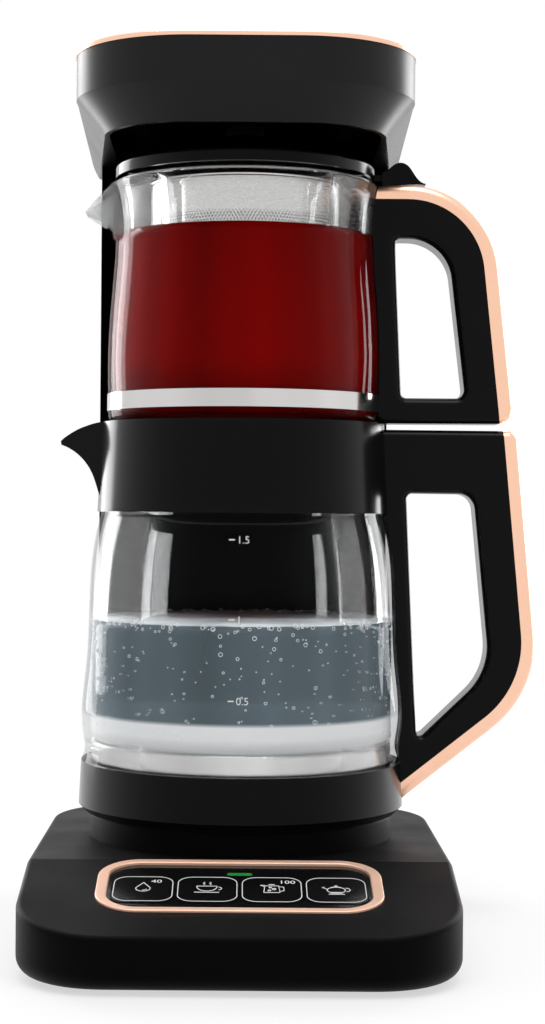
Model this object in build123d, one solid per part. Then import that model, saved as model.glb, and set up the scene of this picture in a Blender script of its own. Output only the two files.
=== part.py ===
from build123d import *
import math
import os

# Automatic tea maker: a stand with a rear column and an overhanging head, a glass kettle on the
# stand's power seat, and a glass teapot with an infuser on top of the kettle, under the head.
# Units are millimetres. The origin is on the pot axis at table level: +Z up, -Y front, handles +X.

# ---- Stand: driving dimensions ----
stand_half_width = 91.0
stand_front_y = -155.5
stand_back_y = 98.0
stand_front_corner_r = 38.0
stand_back_corner_r = 50.0
stand_bottom_z = 1.2
stand_deck_z = 40.0
stand_wall = 4.0
stand_top_edge_r = 2.5
stand_bottom_edge_r = 8.0
bottom_rim_w = 9.0
bottom_rim_t = 2.4
slope_start_y = -76.0
slope_angle = 12.0
bottom_plate_t = 2.0
bottom_plate_clearance = 0.3
ring_foot_outer_r = 78.0
ring_foot_inner_r = 70.0
front_foot_r = 9.0
front_foot_x = 58.0
front_foot_y = -128.0
bottom_screw_places = ((72.0, -95.0), (76.0, 50.0), (38.0, 83.0))
boss_r = 5.0
boss_pilot_depth = 12.0
deck_hole_r = 58.0

# ---- Seat that the kettle stands on ----
seat_r = 69.5
seat_z = 51.0
seat_wall = 2.5
seat_edge_r = 1.2
post_r = 14.0
post_height = 5.5
post_flange_r = 17.5
post_flange_t = 2.0
socket_gap = 0.35
contact_track_radii = (5.0, 9.5)
contact_track_w = 1.4
contact_depth = 2.0
inlet_y = 30.0
inlet_tube_r = 5.0
inlet_bore_r = 3.5
inlet_flange_r = 9.0
inlet_drop = 18.5
inlet_pin_r = 1.5
gasket_r = 7.7
gasket_bore_r = 4.2
gasket_gap = 0.2
plunger_foot_gap = 0.2

# ---- Control panel on the slope (lengths measured along the slope) ----
panel_width = 118.6
panel_length = 54.5
panel_corner_r = 18.0
panel_start = 1.6
bezel_side_w = 4.7
bezel_end_w = 3.6
bezel_height = 1.0
bezel_edge_r = 0.5
bezel_seat = 1.4
fascia_recess = 0.3
shelf_side_lap = 0.8
shelf_end_lap = 2.5
shelf_corner_r = 5.0
key_names = ("warm_water_key", "coffee_key", "boil_key", "tea_key")
key_side_gap = 1.9
key_length = 28.0
key_corner_r = 5.0
key_gap = 1.0
key_clearance = 0.3
key_offset_y = -2.9
key_flange_gap = 0.2
key_travel = 0.8
key_flange_lap = 1.2
key_flange_t = 0.9
key_stem_r = 2.5
key_stem_slack = 0.2
indicator_w = 10.6
indicator_l = 3.0
indicator_corner_r = 1.2
indicator_offset_y = 14.0
panel_board_depth = 11.0
panel_board_t = 1.6
panel_board_margin = 6.0
panel_board_corner_r = 1.5
switch_size = 6.0
switch_body_h = 3.4
switch_button_h = 1.0
switch_button_r = 1.7
panel_post_r = 3.0
panel_post_x = 48.0
panel_post_offset = 14.0
indicator_t = 2.4
led_size = 3.0
led_height = 1.5

# ---- Column and head ----
column_half_width = 69.0
column_back_y = 100.0
column_corner_r = 36.0
column_kettle_gap = 2.0
column_wall = 2.5
column_split_y = 62.0
column_screw_x = 48.0
column_screw_end_gap = 35.0
column_boss_r = 4.5
column_boss_y = 90.0
column_seat_y = 93.0
column_screw_tip_gap = 1.0
head_half_width = 75.0
head_front_y = -95.0
head_corner_r = 52.0
head_back_corner_r = 42.0
head_inset = 12.5
cheek_start_y = -33.0
cheek_end_y = 34.0
cheek_step = 5.5
head_lid_gap = 6.4
head_skirt_h = 15.0
head_side_h = 18.9
head_wall = 2.2
trim_height = 2.1
trim_width = 3.0
trim_proud = 0.4
trim_edge_r = 0.7
cover_drop = 0.9
cover_clearance = 0.2
head_lip_drop = 4.9
head_lip = 2.4
underside_drop = 3.0
underside_t = 2.5
nozzle_r = 9.0
nozzle_drop = 4.5
nozzle_edge_r = 1.5
nozzle_hole_r = 0.4
nozzle_hole_count = 6
underside_screw_x = 47.0
underside_screw_y = 12.0
underside_cap_r = 5.0
riser_y = 88.0
riser_r = 4.0
riser_bore_r = 2.6
riser_bend_r = 8.0
riser_top_rise = 8.0
hose_top_z = 45.0
hose_r = 4.2
hose_bend_r = 8.0
hose_gap = 0.4

# ---- Kettle ----
kettle_ring_flare = 1.0
kettle_ring_top_r = 74.0
kettle_ring_chamfer = 3.2
kettle_ring_h = 23.6
kettle_floor_gap = 0.5
cover_fit = 0.2
kettle_ring_wall = 3.0
foot_step = 0.3
kettle_ledge_drop = 8.6
kettle_ledge_t = 2.0
kettle_ledge_w = 11.0
kettle_cover_t = 2.5
kettle_cover_rim_drop = 8.0
kettle_skirt_gap = 1.0
seal_t = 2.0
seal_squeeze = 0.3
neck_gap = 0.3
heater_gap = 0.3
glass_wall = 3.0
foot_pinch_inset = 1.5
foot_pinch_h = 11.8
glass_low_inset = 0.7
glass_low_h = 5.2
glass_mid_inset = 2.0
glass_mid_h = 31.0
glass_high_inset = 5.9
glass_high_h = 59.0
shoulder_w = 2.5
shoulder_h = 10.6
neck_h = 9.4
heater_inset = 1.8
heater_rise = 18.0
heater_t = 1.5
element_ring_r = 46.0
element_r = 4.0
element_span = 330.0
element_start = -75.0
thermostat_size = (16.0, 14.0, 9.0)
thermostat_x = -29.0
socket_r = 19.0
socket_t = 1.5
valve_r = 8.0
valve_bore_r = 5.5
valve_flange_r = 11.0
valve_flange_t = 1.5
valve_travel = 2.5
valve_foot_rise = 0.6
plunger_foot_rise = 2.5
plunger_r = 2.0
plunger_fit = 0.05
plunger_head_r = 8.2
plunger_head_t = 1.6
plunger_clip_r = 4.5
plunger_clip_t = 1.5
spring_wire_r = 0.5
spring_r = 3.4
spring_turns = 5
spring_gap = 0.2
plunger_clip_rise = 1.0
valve_guide_drop = 18.0
valve_guide_t = 2.0
valve_port_count = 4
valve_port_r = 1.0
valve_port_ring_r = 3.8
collar_foot_rise = 1.2
collar_rise = 33.0
collar_foot_lap = 1.8
collar_taper = 2.0
collar_wall = 2.6
collar_seam_drop = 2.6
seat_flange_w = 14.8
steam_hole_count = 8
steam_hole_r = 3.0
lip_reach = 19.8
lip_tip_r = 3.0
lip_tip_open = 0.6
lip_root_inset = 13.4
lip_root_r = 18.0
lip_wall = 2.2
lip_floor_ratio = 1.3
collar_lip_top = ((-4.4, 0.0), (1.1, -0.3), (6.2, -1.6), (10.6, -3.2), (14.6, -5.3), (19.2, -8.6))
collar_lip_under = ((19.0, -10.4), (13.6, -12.9), (7.6, -18.1), (3.8, -24.1), (1.5, -30.5), (-1.9, -39.5))
lip_nose_fall = (-0.75, 0, -0.66)

# ---- Handles: thickness along Y ----
handle_t = 23.0
handle_edge_r = 4.0
handle_root_inset = 4.8
handle_glass_gap = 0.8
strip_overrun = 5.0
kettle_rim_head = ((0.6, -2.5), (60.6, -2.7))
kettle_rim_foot = ((63.2, 32.7), (0.0, -17.1))
kettle_rim_radii = (4.5, 50.0)
kettle_hole_head = ((10.2, -31.8), (40.9, -32.0))
kettle_hole_foot = ((40.3, 42.0), (6.9, 9.7))
kettle_hole_radii = (2.5, 7.5, 29.0, 2.0)
kettle_trim_w = 6.3
handle_screw_drops = (24.0, 12.0)
handle_screw_inset = 0.3
handle_screw_length = 17.5

# ---- Teapot ----
pot_seat_gap = 3.3
pot_foot_flare = 3.3
band_rise = 5.1
band_h = 7.9
band_proud = 0.4
band_groove_depth = 0.5
pot_belly_swell = 0.2
pot_belly_rise = 7.0
pot_mid_inset = 1.2
pot_mid_h = 35.0
pot_neck_inset = 3.2
pot_neck_h = 31.0
pot_rim_inset = 1.0
pot_rim_h = 24.2
pot_wall = 2.6
pot_floor_t = 3.0
pot_foot_corner_r = 3.0
pot_rim_bead_r = 1.25
pot_lip_reach = 12.4
pot_lip_tip_r = 3.5
pot_lip_root_x = 20.0
pot_lip_root_r = 42.0
pot_lip_wall = 2.0
pot_lip_top = ((-5.0, 0.0), (-1.0, -1.3), (4.6, -5.8), (9.0, -9.6), (12.0, -12.4))
pot_lip_under = ((11.2, -14.3), (6.5, -16.7), (2.0, -19.4), (-2.0, -27.2))
pot_rim_head = ((0.0, 0.0), (50.9, 0.0))
pot_rim_foot = ((61.9, 0.6), (1.2, 0.4))
pot_rim_radii = (42.0, 7.0)
pot_hole_head = ((7.4, -24.6), (31.4, -24.8))
pot_hole_foot = ((39.3, 12.2), (10.0, 12.2))
pot_hole_radii = (2.5, 20.0, 4.0, 2.5)
pot_trim_w = 6.7
pot_root_inset = 8.8
pot_screw_rise = 9.0
pot_screw_reach = 7.7
basket_r = 43.5
basket_wall = 0.6
basket_drop = 0.5
basket_floor_rise = 20.0
basket_arm_r = 0.7
basket_arm_rise = 1.5
basket_arm_gap = 1.2
basket_arm_start = -30.0
basket_ring_r = 1.1
basket_arm_count = 3
basket_slot_w = 2.2
basket_slot_h = 9.0
basket_slot_rise = 8.0
basket_slot_pitch = 13.0
basket_slot_rows = 5
basket_slots_per_row = 24
basket_floor_ring_r = 26.0

# ---- Lid ----
lid_inset = 2.0
lid_gap = 2.5
lid_h = 5.9
lid_wall = 2.0
hinge_reach = 4.0
hinge_rise = 1.7
hinge_pin_r = 1.2
hinge_pin_fit = 0.05
hinge_knuckle_r = 2.8
hinge_half_length = 7.4
knuckle_gap = 0.3
lever_half_width = 4.2
lever_line = ((-3.2, 2.2), (0.0, 3.6), (3.4, 6.3), (6.0, 7.0), (8.6, 6.2), (12.0, 2.2), (17.6, -2.7))
lever_under = ((14.0, -3.0), (10.0, -3.2), (3.0, -3.7))
lever_tip_t = 0.6
lid_edge_r = 1.5
lid_arm_lap = 5.0
grommet_r = 8.0
grommet_bore_r = 3.0

# ---- Fasteners ----
screw_r = 1.9
screw_head_r = 3.8
screw_head_h = 2.2
bottom_screw_head_h = 1.0
screw_clearance = 0.2
gland_z = 18.0
gland_reach = 6.0
gland_bore_r = 3.5

# ---- Pump and power board inside the stand ----
pump_y = 60.0
pump_z = 19.5
pump_head_r = 14.0
pump_head_half = 9.0
pump_motor_r = 12.5
pump_motor_length = 36.0
cradle_t = 4.0
cradle_width = 16.0
cradle_spacing = 18.0
power_board_corner = (-68.0, 22.0)
power_board_size = (46.0, 56.0)
power_board_t = 1.6
power_board_standoff = 5.0
standoff_r = 3.0
relay_size = (16.0, 13.0, 12.0)
coil_size = (18.0, 20.0, 15.0)
capacitor_r = 5.0
capacitor_h = 13.0
capacitor_spacing = 15.0
gland_x = 45.0
gland_r = 6.0


def placed(points, reach, level):
    """Outline points moved out and up from the radius and the level they are measured from."""
    return [(reach + x, level + z) for x, z in points]


# ---- Values that follow from the driving dimensions ----
slope = math.radians(slope_angle)
floor_z = stand_bottom_z + bottom_plate_t
seat_underside_z = seat_z - seat_wall
plate_top_z = seat_underside_z - post_flange_t
kettle_bottom_z = seat_z
kettle_ring_bottom_r = kettle_ring_top_r + kettle_ring_flare
column_hollow_r = kettle_ring_bottom_r + column_kettle_gap
ring_bore_r = kettle_ring_top_r - kettle_ring_wall
kettle_ledge_inner_r = ring_bore_r - kettle_ledge_w
kettle_skirt_r = ring_bore_r - kettle_skirt_gap
foot_pinch_r = kettle_ring_top_r - foot_pinch_inset
glass_low_r = kettle_ring_top_r - glass_low_inset
glass_mid_r = kettle_ring_top_r - glass_mid_inset
glass_high_r = kettle_ring_top_r - glass_high_inset
neck_r = glass_high_r - shoulder_w
heater_r = ring_bore_r - heater_inset
collar_bottom_r = neck_r + collar_foot_lap
collar_top_r = collar_bottom_r - collar_taper
collar_bore_r = collar_top_r - collar_wall
seat_flange_inner_r = collar_bore_r - seat_flange_w
lip_tip_x = collar_top_r + lip_reach
lip_root_x = collar_top_r - lip_root_inset
handle_root_x = collar_bore_r - handle_root_inset
handle_screw_seat_x = collar_bore_r - handle_screw_inset
handle_screw_tip_x = handle_screw_seat_x + handle_screw_length
pot_foot_r = collar_bore_r - pot_seat_gap
pot_low_r = pot_foot_r + pot_foot_flare
band_r = pot_low_r + band_proud
band_groove_r = pot_low_r - band_groove_depth
pot_belly_r = pot_low_r + pot_belly_swell
pot_mid_r = pot_belly_r - pot_mid_inset
pot_neck_r = pot_belly_r - pot_neck_inset
pot_rim_r = pot_belly_r - pot_rim_inset
pot_lip_tip_x = pot_rim_r + pot_lip_reach
pot_root_x = pot_low_r - pot_root_inset
pot_screw_tip_x = pot_low_r + pot_screw_reach
basket_arm_reach = pot_rim_r - basket_arm_gap - basket_r
lid_r = pot_rim_r - lid_inset
lid_arm_x = lid_r - lid_arm_lap
hinge_x = pot_rim_r + hinge_reach
kettle_ring_top_z = seat_z + kettle_ring_h
kettle_ledge_z = kettle_ring_top_z - kettle_ledge_drop
kettle_cover_rim_z = kettle_ledge_z - kettle_cover_rim_drop
heater_top_z = kettle_ledge_z + heater_rise
valve_guide_z = heater_top_z - valve_guide_drop
glass_foot_z = kettle_ledge_z + kettle_ledge_t + seal_t
foot_pinch_z = glass_foot_z + foot_pinch_h
glass_low_z = foot_pinch_z + glass_low_h
glass_mid_z = glass_low_z + glass_mid_h
glass_high_z = glass_mid_z + glass_high_h
neck_z = glass_high_z + shoulder_h
neck_top_z = neck_z + neck_h
collar_bottom_z = neck_z + collar_foot_rise
collar_top_z = neck_top_z + collar_rise
handle_screw_heights = [collar_top_z - drop for drop in handle_screw_drops]
kettle_rim_line = placed(kettle_rim_head, collar_top_r, collar_top_z)
kettle_rim_line += placed(kettle_rim_foot, kettle_ring_top_r, kettle_ring_top_z)
kettle_hole = placed(kettle_hole_head, collar_top_r, collar_top_z)
kettle_hole += placed(kettle_hole_foot, kettle_ring_top_r, kettle_ring_top_z)
band_bottom_z = collar_top_z + band_rise
band_top_z = band_bottom_z + band_h
pot_belly_z = band_top_z + pot_belly_rise
pot_mid_z = pot_belly_z + pot_mid_h
pot_neck_z = pot_mid_z + pot_neck_h
pot_rim_z = pot_neck_z + pot_rim_h
pot_rim_line = placed(pot_rim_head, pot_rim_r, pot_rim_z) + placed(pot_rim_foot, pot_low_r, collar_top_z)
pot_hole = placed(pot_hole_head, pot_rim_r, pot_rim_z) + placed(pot_hole_foot, pot_low_r, collar_top_z)
pot_screw_z = collar_top_z + pot_screw_rise
basket_top_z = pot_rim_z - basket_drop
basket_bottom_z = collar_top_z + basket_floor_rise
basket_slot_low_z = basket_bottom_z + basket_slot_rise
lid_bottom_z = pot_rim_z + lid_gap
lid_top_z = lid_bottom_z + lid_h
hinge_z = lid_bottom_z + hinge_rise
head_rim_z = lid_top_z + head_lid_gap
head_band_z = head_rim_z + head_skirt_h
head_top_z = head_band_z + head_side_h
head_lip_z = head_top_z - head_lip_drop
underside_z = head_band_z - underside_drop
riser_top_z = head_band_z + riser_top_rise
screw_low_z = stand_deck_z + column_screw_end_gap
screw_high_z = head_band_z - column_screw_end_gap
column_screw_heights = (screw_low_z, (screw_low_z + screw_high_z) / 2, screw_high_z)
seam_z = collar_top_z - collar_seam_drop
valve_foot_z = kettle_bottom_z + valve_foot_rise
plunger_foot_z = kettle_bottom_z + plunger_foot_rise
cover_inner_r = kettle_skirt_r - kettle_cover_t
panel_mid = panel_start + panel_length / 2
panel_plane = Plane(
    origin=(0, slope_start_y - panel_mid * math.cos(slope), stand_deck_z - panel_mid * math.sin(slope)),
    x_dir=(1, 0, 0),
    z_dir=(0, -math.sin(slope), math.cos(slope)),
)
key_count = len(key_names)
fascia_width = panel_width - 2 * bezel_side_w
key_width = (fascia_width - 2 * key_side_gap - (key_count - 1) * key_gap) / key_count
key_pitch = key_width + key_gap
fascia_length = panel_length - 2 * bezel_end_w
fascia_corner_r = panel_corner_r - bezel_side_w
key_stem_gap = key_travel + key_stem_slack
board_top = -panel_board_depth
switch_top = board_top + switch_body_h
button_top = switch_top + switch_button_h
same = 0.01  # two heights closer than this are one height


# ---- Helpers ----
def disc(radius, low, high, x=0.0, y=0.0):
    """A solid cylinder standing on the height low."""
    return Pos(x, y, (low + high) / 2) * Cylinder(radius, high - low)


def ring(outer_r, inner_r, low, high, x=0.0, y=0.0):
    """A tube standing on the height low."""
    return disc(outer_r, low, high, x, y) - disc(inner_r, low, high, x, y)


def turned(points):
    """A solid of revolution about the pot axis from (radius, height) corners."""
    outline = Polyline([(radius, 0, height) for radius, height in points], close=True)
    return revolve(make_face(outline), Axis.Z)


def block(low, high):
    """A box between two corners."""
    size = [b - a for a, b in zip(low, high)]
    middle = [(a + b) / 2 for a, b in zip(low, high)]
    return Pos(*middle) * Box(*size)


def plan(half_width, front_y, back_y, front_r, back_r):
    """A plan outline with its own front and back corner radii."""
    middle_y = (front_y + back_y) / 2
    front = RectangleRounded(2 * half_width, back_y - front_y, front_r)
    back = RectangleRounded(2 * half_width, back_y - front_y, back_r)
    half = Rectangle(2 * half_width, (back_y - front_y) / 2)
    quarter = (back_y - front_y) / 4
    front_half = front & (Pos(0, -quarter) * half)
    back_half = back & (Pos(0, quarter) * half)
    return Pos(0, middle_y) * make_face(Wire((front_half + back_half).face().outer_wire().edges()))


def raised(sketch, low, high):
    """A plan outline extruded between two heights."""
    return extrude(Pos(0, 0, low) * sketch, high - low)


def top_edges(shape):
    """The edges that lie in a shape's topmost plane."""
    top = shape.bounding_box().max.Z
    return [e for e in shape.edges() if e.bounding_box().min.Z > top - same]


def bottom_edges(shape):
    """The edges that lie in a shape's lowest plane."""
    low = shape.bounding_box().min.Z
    return [e for e in shape.edges() if e.bounding_box().max.Z < low + same]


def write(name, shape):
    """Writes one sub-part to its STEP file."""
    shape.label = name
    export_step(shape, os.path.join("parts", name + ".step"))


# ---- Stand ----
def slope_cutter(drop):
    """Everything above the sloping front, lowered by drop."""
    reach = 2 * (stand_back_y - stand_front_y)
    plane = Plane(origin=(0, slope_start_y, stand_deck_z), x_dir=(1, 0, 0), z_dir=panel_plane.z_dir)
    return plane * (Pos(0, -reach / 2, reach / 2 - drop) * Box(reach, reach, reach))


def stand_outline(inset):
    """The stand's plan outline, or a smaller copy of it."""
    return plan(
        stand_half_width - inset,
        stand_front_y + inset,
        stand_back_y - inset,
        stand_front_corner_r - inset,
        stand_back_corner_r - inset,
    )


def stand_form(inset, low, drop):
    """The stand's outer form, or a smaller copy of it that hollows it out."""
    return raised(stand_outline(inset), low, stand_deck_z - drop) - slope_cutter(drop)


def panel_slab(width, length, corner_r, low, high, x=0.0, y=0.0):
    """A rounded slab parallel to the slope, between two levels above it."""
    outline = Pos(x, y) * RectangleRounded(width, length, corner_r)
    return panel_plane * raised(outline, low, high)


def screw_places():
    """The plan places of the bottom screws, both sides."""
    return [(side * x, y) for x, y in bottom_screw_places for side in (-1, 1)]


def base_housing():
    outer = stand_form(0, stand_bottom_z, 0)
    top_faces = [f for f in outer.faces() if f.normal_at().Z > math.cos(2 * slope)]
    ridge = slope_start_y
    rim = [
        e
        for face in top_faces
        for e in face.edges()
        if not (abs(e.center().Y - ridge) < stand_wall and e.length > stand_half_width)
    ]
    housing = fillet(rim, stand_top_edge_r)
    housing = fillet(bottom_edges(housing), stand_bottom_edge_r)
    housing -= stand_form(stand_wall, stand_bottom_z + bottom_rim_t, stand_wall)
    housing -= raised(stand_outline(bottom_rim_w), stand_bottom_z, stand_bottom_z + bottom_rim_t)
    for x, y in screw_places():
        boss = disc(boss_r, floor_z, stand_deck_z, x, y) & stand_form(stand_wall, floor_z, stand_top_edge_r)
        housing += boss
        housing -= disc(screw_r, floor_z, floor_z + boss_pilot_depth, x, y)
    housing -= panel_slab(panel_width, panel_length, panel_corner_r, -bezel_seat, stand_wall)
    housing -= panel_slab(
        fascia_width - 2 * shelf_side_lap,
        fascia_length - 2 * shelf_end_lap,
        shelf_corner_r,
        -2 * stand_wall,
        0,
    )
    housing -= disc(deck_hole_r, stand_deck_z - 2 * stand_wall, stand_deck_z)
    housing -= disc(hose_r + hose_gap, stand_deck_z - 2 * stand_wall, stand_deck_z, 0, riser_y)
    gland_hole = Rot(90, 0, 0) * Cylinder(gland_r, 4 * stand_wall)
    return housing - Pos(gland_x, stand_back_y, gland_z) * gland_hole


def base_bottom_plate():
    plate = raised(stand_outline(bottom_rim_w + bottom_plate_clearance), stand_bottom_z, floor_z)
    for x, y in screw_places():
        plate -= disc(screw_r, stand_bottom_z, floor_z, x, y)
    under_board = panel_plane * (
        Pos(0, 0, board_top - panel_board_t - stand_deck_z) * Box(panel_width, panel_width, 2 * stand_deck_z)
    )
    for x in (-panel_post_x, panel_post_x):
        for offset in (-panel_post_offset, panel_post_offset):
            foot_y = (panel_plane * Pos(x, key_offset_y + offset, board_top)).position.Y
            plate += disc(panel_post_r, floor_z, stand_deck_z, x, foot_y) & under_board
    for x, y in power_board_corners():
        plate += disc(standoff_r, floor_z, floor_z + power_board_standoff, x, y)
    for step in (0, 1):
        low_x = pump_head_half + cradle_t + step * cradle_spacing
        saddle = block(
            (low_x, pump_y - cradle_width / 2, floor_z), (low_x + cradle_t, pump_y + cradle_width / 2, pump_z)
        )
        plate += saddle - pump_barrel(pump_motor_r, pump_head_half, pump_motor_length)
    return plate


def base_feet():
    """The ring foot around the pot axis and the two pads near the front."""
    ring_foot = ring(ring_foot_outer_r, ring_foot_inner_r, 0, stand_bottom_z)
    pads = [disc(front_foot_r, 0, stand_bottom_z, side * front_foot_x, front_foot_y) for side in (-1, 1)]
    return Compound(children=[ring_foot] + pads)


def seat_plate():
    plate = disc(seat_r, stand_deck_z, seat_z)
    plate = fillet(top_edges(plate), seat_edge_r)
    plate -= disc(seat_r - seat_wall, stand_deck_z, seat_underside_z)
    plate -= disc(post_r, seat_underside_z, seat_z)
    return plate - disc(gasket_r, seat_underside_z, seat_z, 0, inlet_y)


def connector_post():
    top = seat_z + post_height
    post = disc(post_r, seat_underside_z, top) + disc(post_flange_r, plate_top_z, seat_underside_z)
    post = chamfer(top_edges(post), seat_edge_r)
    for radius in contact_track_radii:
        post -= ring(radius + contact_track_w / 2, radius - contact_track_w / 2, top - contact_depth, top)
    return post


def connector_contacts():
    top = seat_z + post_height
    tracks = [
        ring(radius + contact_track_w / 2, radius - contact_track_w / 2, top - contact_depth, top)
        for radius in contact_track_radii
    ]
    return Compound(children=tracks)


def water_inlet():
    """The fitting that takes water from the kettle's valve, with the pin that lifts the plunger."""
    low = plate_top_z - inlet_drop
    body = ring(inlet_flange_r, inlet_bore_r, plate_top_z, seat_underside_z, 0, inlet_y)
    body += ring(inlet_tube_r, inlet_bore_r, low, plate_top_z, 0, inlet_y)
    body += disc(inlet_pin_r, plate_top_z, plunger_foot_z - plunger_foot_gap, 0, inlet_y)
    bar = (inlet_bore_r + inlet_flange_r) / 2
    body += block(
        (-bar, inlet_y - inlet_pin_r / 2, plate_top_z),
        (bar, inlet_y + inlet_pin_r / 2, plate_top_z + inlet_pin_r),
    )
    return body


def inlet_gasket():
    return ring(gasket_r, gasket_bore_r, seat_underside_z, valve_foot_z - gasket_gap, 0, inlet_y)


def panel_bezel():
    frame = panel_slab(panel_width, panel_length, panel_corner_r, -bezel_seat, bezel_height)
    opening = panel_slab(fascia_width, fascia_length, fascia_corner_r, -bezel_seat, bezel_height)
    frame -= opening
    up = panel_plane.z_dir
    top = frame.faces().sort_by(lambda f: f.center().dot(up))[-1]
    return fillet(top.edges(), bezel_edge_r)


def key_centre(index):
    """Where a key sits across the panel."""
    return (index - (key_count - 1) / 2) * key_pitch


def panel_fascia():
    plate = panel_slab(fascia_width, fascia_length, fascia_corner_r, -bezel_seat, -fascia_recess)
    for index in range(key_count):
        plate -= panel_slab(
            key_width + 2 * key_clearance,
            key_length + 2 * key_clearance,
            key_corner_r + key_clearance,
            -bezel_seat,
            0,
            key_centre(index),
            key_offset_y,
        )
    return plate - indicator_lens(0)


def indicator_lens(sunk=1):
    """The green light window; with sunk at 0 it is the opening it fills in the fascia."""
    low = -fascia_recess - indicator_t * sunk - bezel_seat * (1 - sunk)
    return panel_slab(
        indicator_w, indicator_l, indicator_corner_r, low, -fascia_recess, 0, indicator_offset_y
    )


def panel_key(index):
    """One key cap with its retaining flange and its stem."""
    x = key_centre(index)
    flange_top = -bezel_seat - key_flange_gap
    flange_low = flange_top - key_flange_t
    cap = panel_slab(key_width, key_length, key_corner_r, flange_top, 0, x, key_offset_y)
    cap += panel_slab(
        key_width, key_length + 2 * key_flange_lap, key_corner_r, flange_low, flange_top, x, key_offset_y
    )
    stem = panel_plane * disc(key_stem_r, button_top + key_stem_gap, flange_low, x, key_offset_y)
    return cap + stem


def panel_board():
    """The key board and the lamp under the indicator window."""
    board = panel_slab(
        fascia_width - panel_board_margin,
        fascia_length - panel_board_margin,
        panel_board_corner_r,
        board_top - panel_board_t,
        board_top,
    )
    lamp = Pos(0, indicator_offset_y, board_top + led_height / 2) * Box(led_size, led_size, led_height)
    return Compound(children=[board, panel_plane * lamp])


def tact_switches():
    switches = []
    for index in range(key_count):
        x = key_centre(index)
        middle = (board_top + switch_top) / 2
        body = Pos(x, key_offset_y, middle) * Box(switch_size, switch_size, switch_body_h)
        button = disc(switch_button_r, switch_top, button_top, x, key_offset_y)
        switches.append(panel_plane * (body + button))
    return Compound(children=switches)


def power_board_corners():
    """The four standoff places under the power board."""
    x, y = power_board_corner
    width, length = power_board_size
    edge = 2 * standoff_r
    return [(x + a, y + b) for a in (edge, width - edge) for b in (edge, length - edge)]


def power_board():
    """The power board with its relay, coil and two capacitors."""
    x, y = power_board_corner
    width, length = power_board_size
    low = floor_z + power_board_standoff
    top = low + power_board_t
    board = block((x, y, low), (x + width, y + length, top))
    middle = x + width / 2
    relay = Pos(middle, y + relay_size[1], top + relay_size[2] / 2) * Box(*relay_size)
    coil = Pos(middle, y + length / 2, top + coil_size[2] / 2) * Box(*coil_size)
    can_y = y + length - 2 * capacitor_r
    cans = [
        disc(capacitor_r, top, top + capacitor_h, middle + side * capacitor_spacing / 2, can_y)
        for side in (-1, 1)
    ]
    return Compound(children=[board, relay, coil] + cans)


def pump_barrel(radius, low_x, length):
    """A cylinder along X on the pump's axis."""
    return Pos(low_x + length / 2, pump_y, pump_z) * (Rot(0, 90, 0) * Cylinder(radius, length))


def water_pump():
    """The pump's round head and the motor behind it."""
    head = pump_barrel(pump_head_r, -pump_head_half, 2 * pump_head_half)
    motor = pump_barrel(pump_motor_r, pump_head_half, pump_motor_length)
    return Compound(children=[head, motor])


def pipe(points, bend_r, outer_r, bore_r):
    """A round pipe along straight runs joined by arcs."""
    path = FilletPolyline(*points, radius=bend_r)
    start = Plane(origin=path @ 0, z_dir=path % 0)
    section = start * (Circle(outer_r) - Circle(bore_r))
    return sweep(section, path)


def pump_hoses():
    inlet_low = plate_top_z - inlet_drop
    head_front = pump_y - pump_head_r
    head_back = pump_y + pump_head_r
    suction = pipe(
        [(0, inlet_y, inlet_low), (0, inlet_y, pump_z), (0, head_front, pump_z)],
        hose_bend_r,
        hose_r,
        riser_bore_r,
    )
    delivery = pipe(
        [(0, head_back, pump_z), (0, riser_y, pump_z), (0, riser_y, hose_top_z)],
        hose_bend_r,
        hose_r,
        riser_bore_r,
    )
    return Compound(children=[suction, delivery])


def bottom_screws():
    screws = [
        disc(screw_head_r, stand_bottom_z - bottom_screw_head_h, stand_bottom_z, x, y)
        + disc(screw_r, stand_bottom_z, floor_z + boss_pilot_depth, x, y)
        for x, y in screw_places()
    ]
    return Compound(children=screws)


def cord_gland():
    """The bush in the rear wall that the supply cord passes through."""
    length = stand_wall + gland_reach
    bush = Cylinder(gland_r, length) - Cylinder(gland_bore_r, length)
    lie = Pos(gland_x, stand_back_y - stand_wall + length / 2, gland_z) * Rot(90, 0, 0)
    return lie * bush


# ---- Column ----
def column_outline(inset):
    """The crescent plan of the column, hollow towards the pots, or a smaller copy of it."""
    back_y = column_back_y - inset
    body = plan(column_half_width - inset, -back_y, back_y, column_corner_r, column_corner_r - inset)
    front_half = Pos(0, -back_y) * Rectangle(3 * column_half_width, 2 * back_y)
    return body - front_half - Circle(column_hollow_r + inset)


def column_wall_ring():
    wall = column_outline(0) - column_outline(column_wall)
    return raised(wall, stand_deck_z, head_band_z)


def column_front_zone():
    """Where the column's front cover lies: the concave wall and the sides as far as the split."""
    reach = 2 * column_back_y
    sides = block((-reach, -reach, stand_deck_z), (reach, column_split_y, head_band_z))
    return sides + disc(column_hollow_r + column_wall, stand_deck_z, head_band_z)


def lying(radius, low_y, high_y, x, z):
    """A cylinder along Y between two depths."""
    return Pos(x, (low_y + high_y) / 2, z) * (Rot(90, 0, 0) * Cylinder(radius, high_y - low_y))


def column_screw_places():
    return [(side * column_screw_x, z) for z in column_screw_heights for side in (-1, 1)]


def column_front_cover():
    cover = column_wall_ring() & column_front_zone()
    hollow_y = math.sqrt((column_hollow_r + column_wall / 2) ** 2 - column_screw_x**2)
    for x, z in column_screw_places():
        cover += lying(column_boss_r, hollow_y, column_boss_y, x, z) - column_void()
    for x, z in column_screw_places():
        cover -= lying(screw_r, column_boss_y - boss_pilot_depth, column_boss_y, x, z)
    return cover


def column_void():
    """The space in front of the column, where the pots stand."""
    return disc(column_hollow_r, stand_deck_z, head_band_z)


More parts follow.
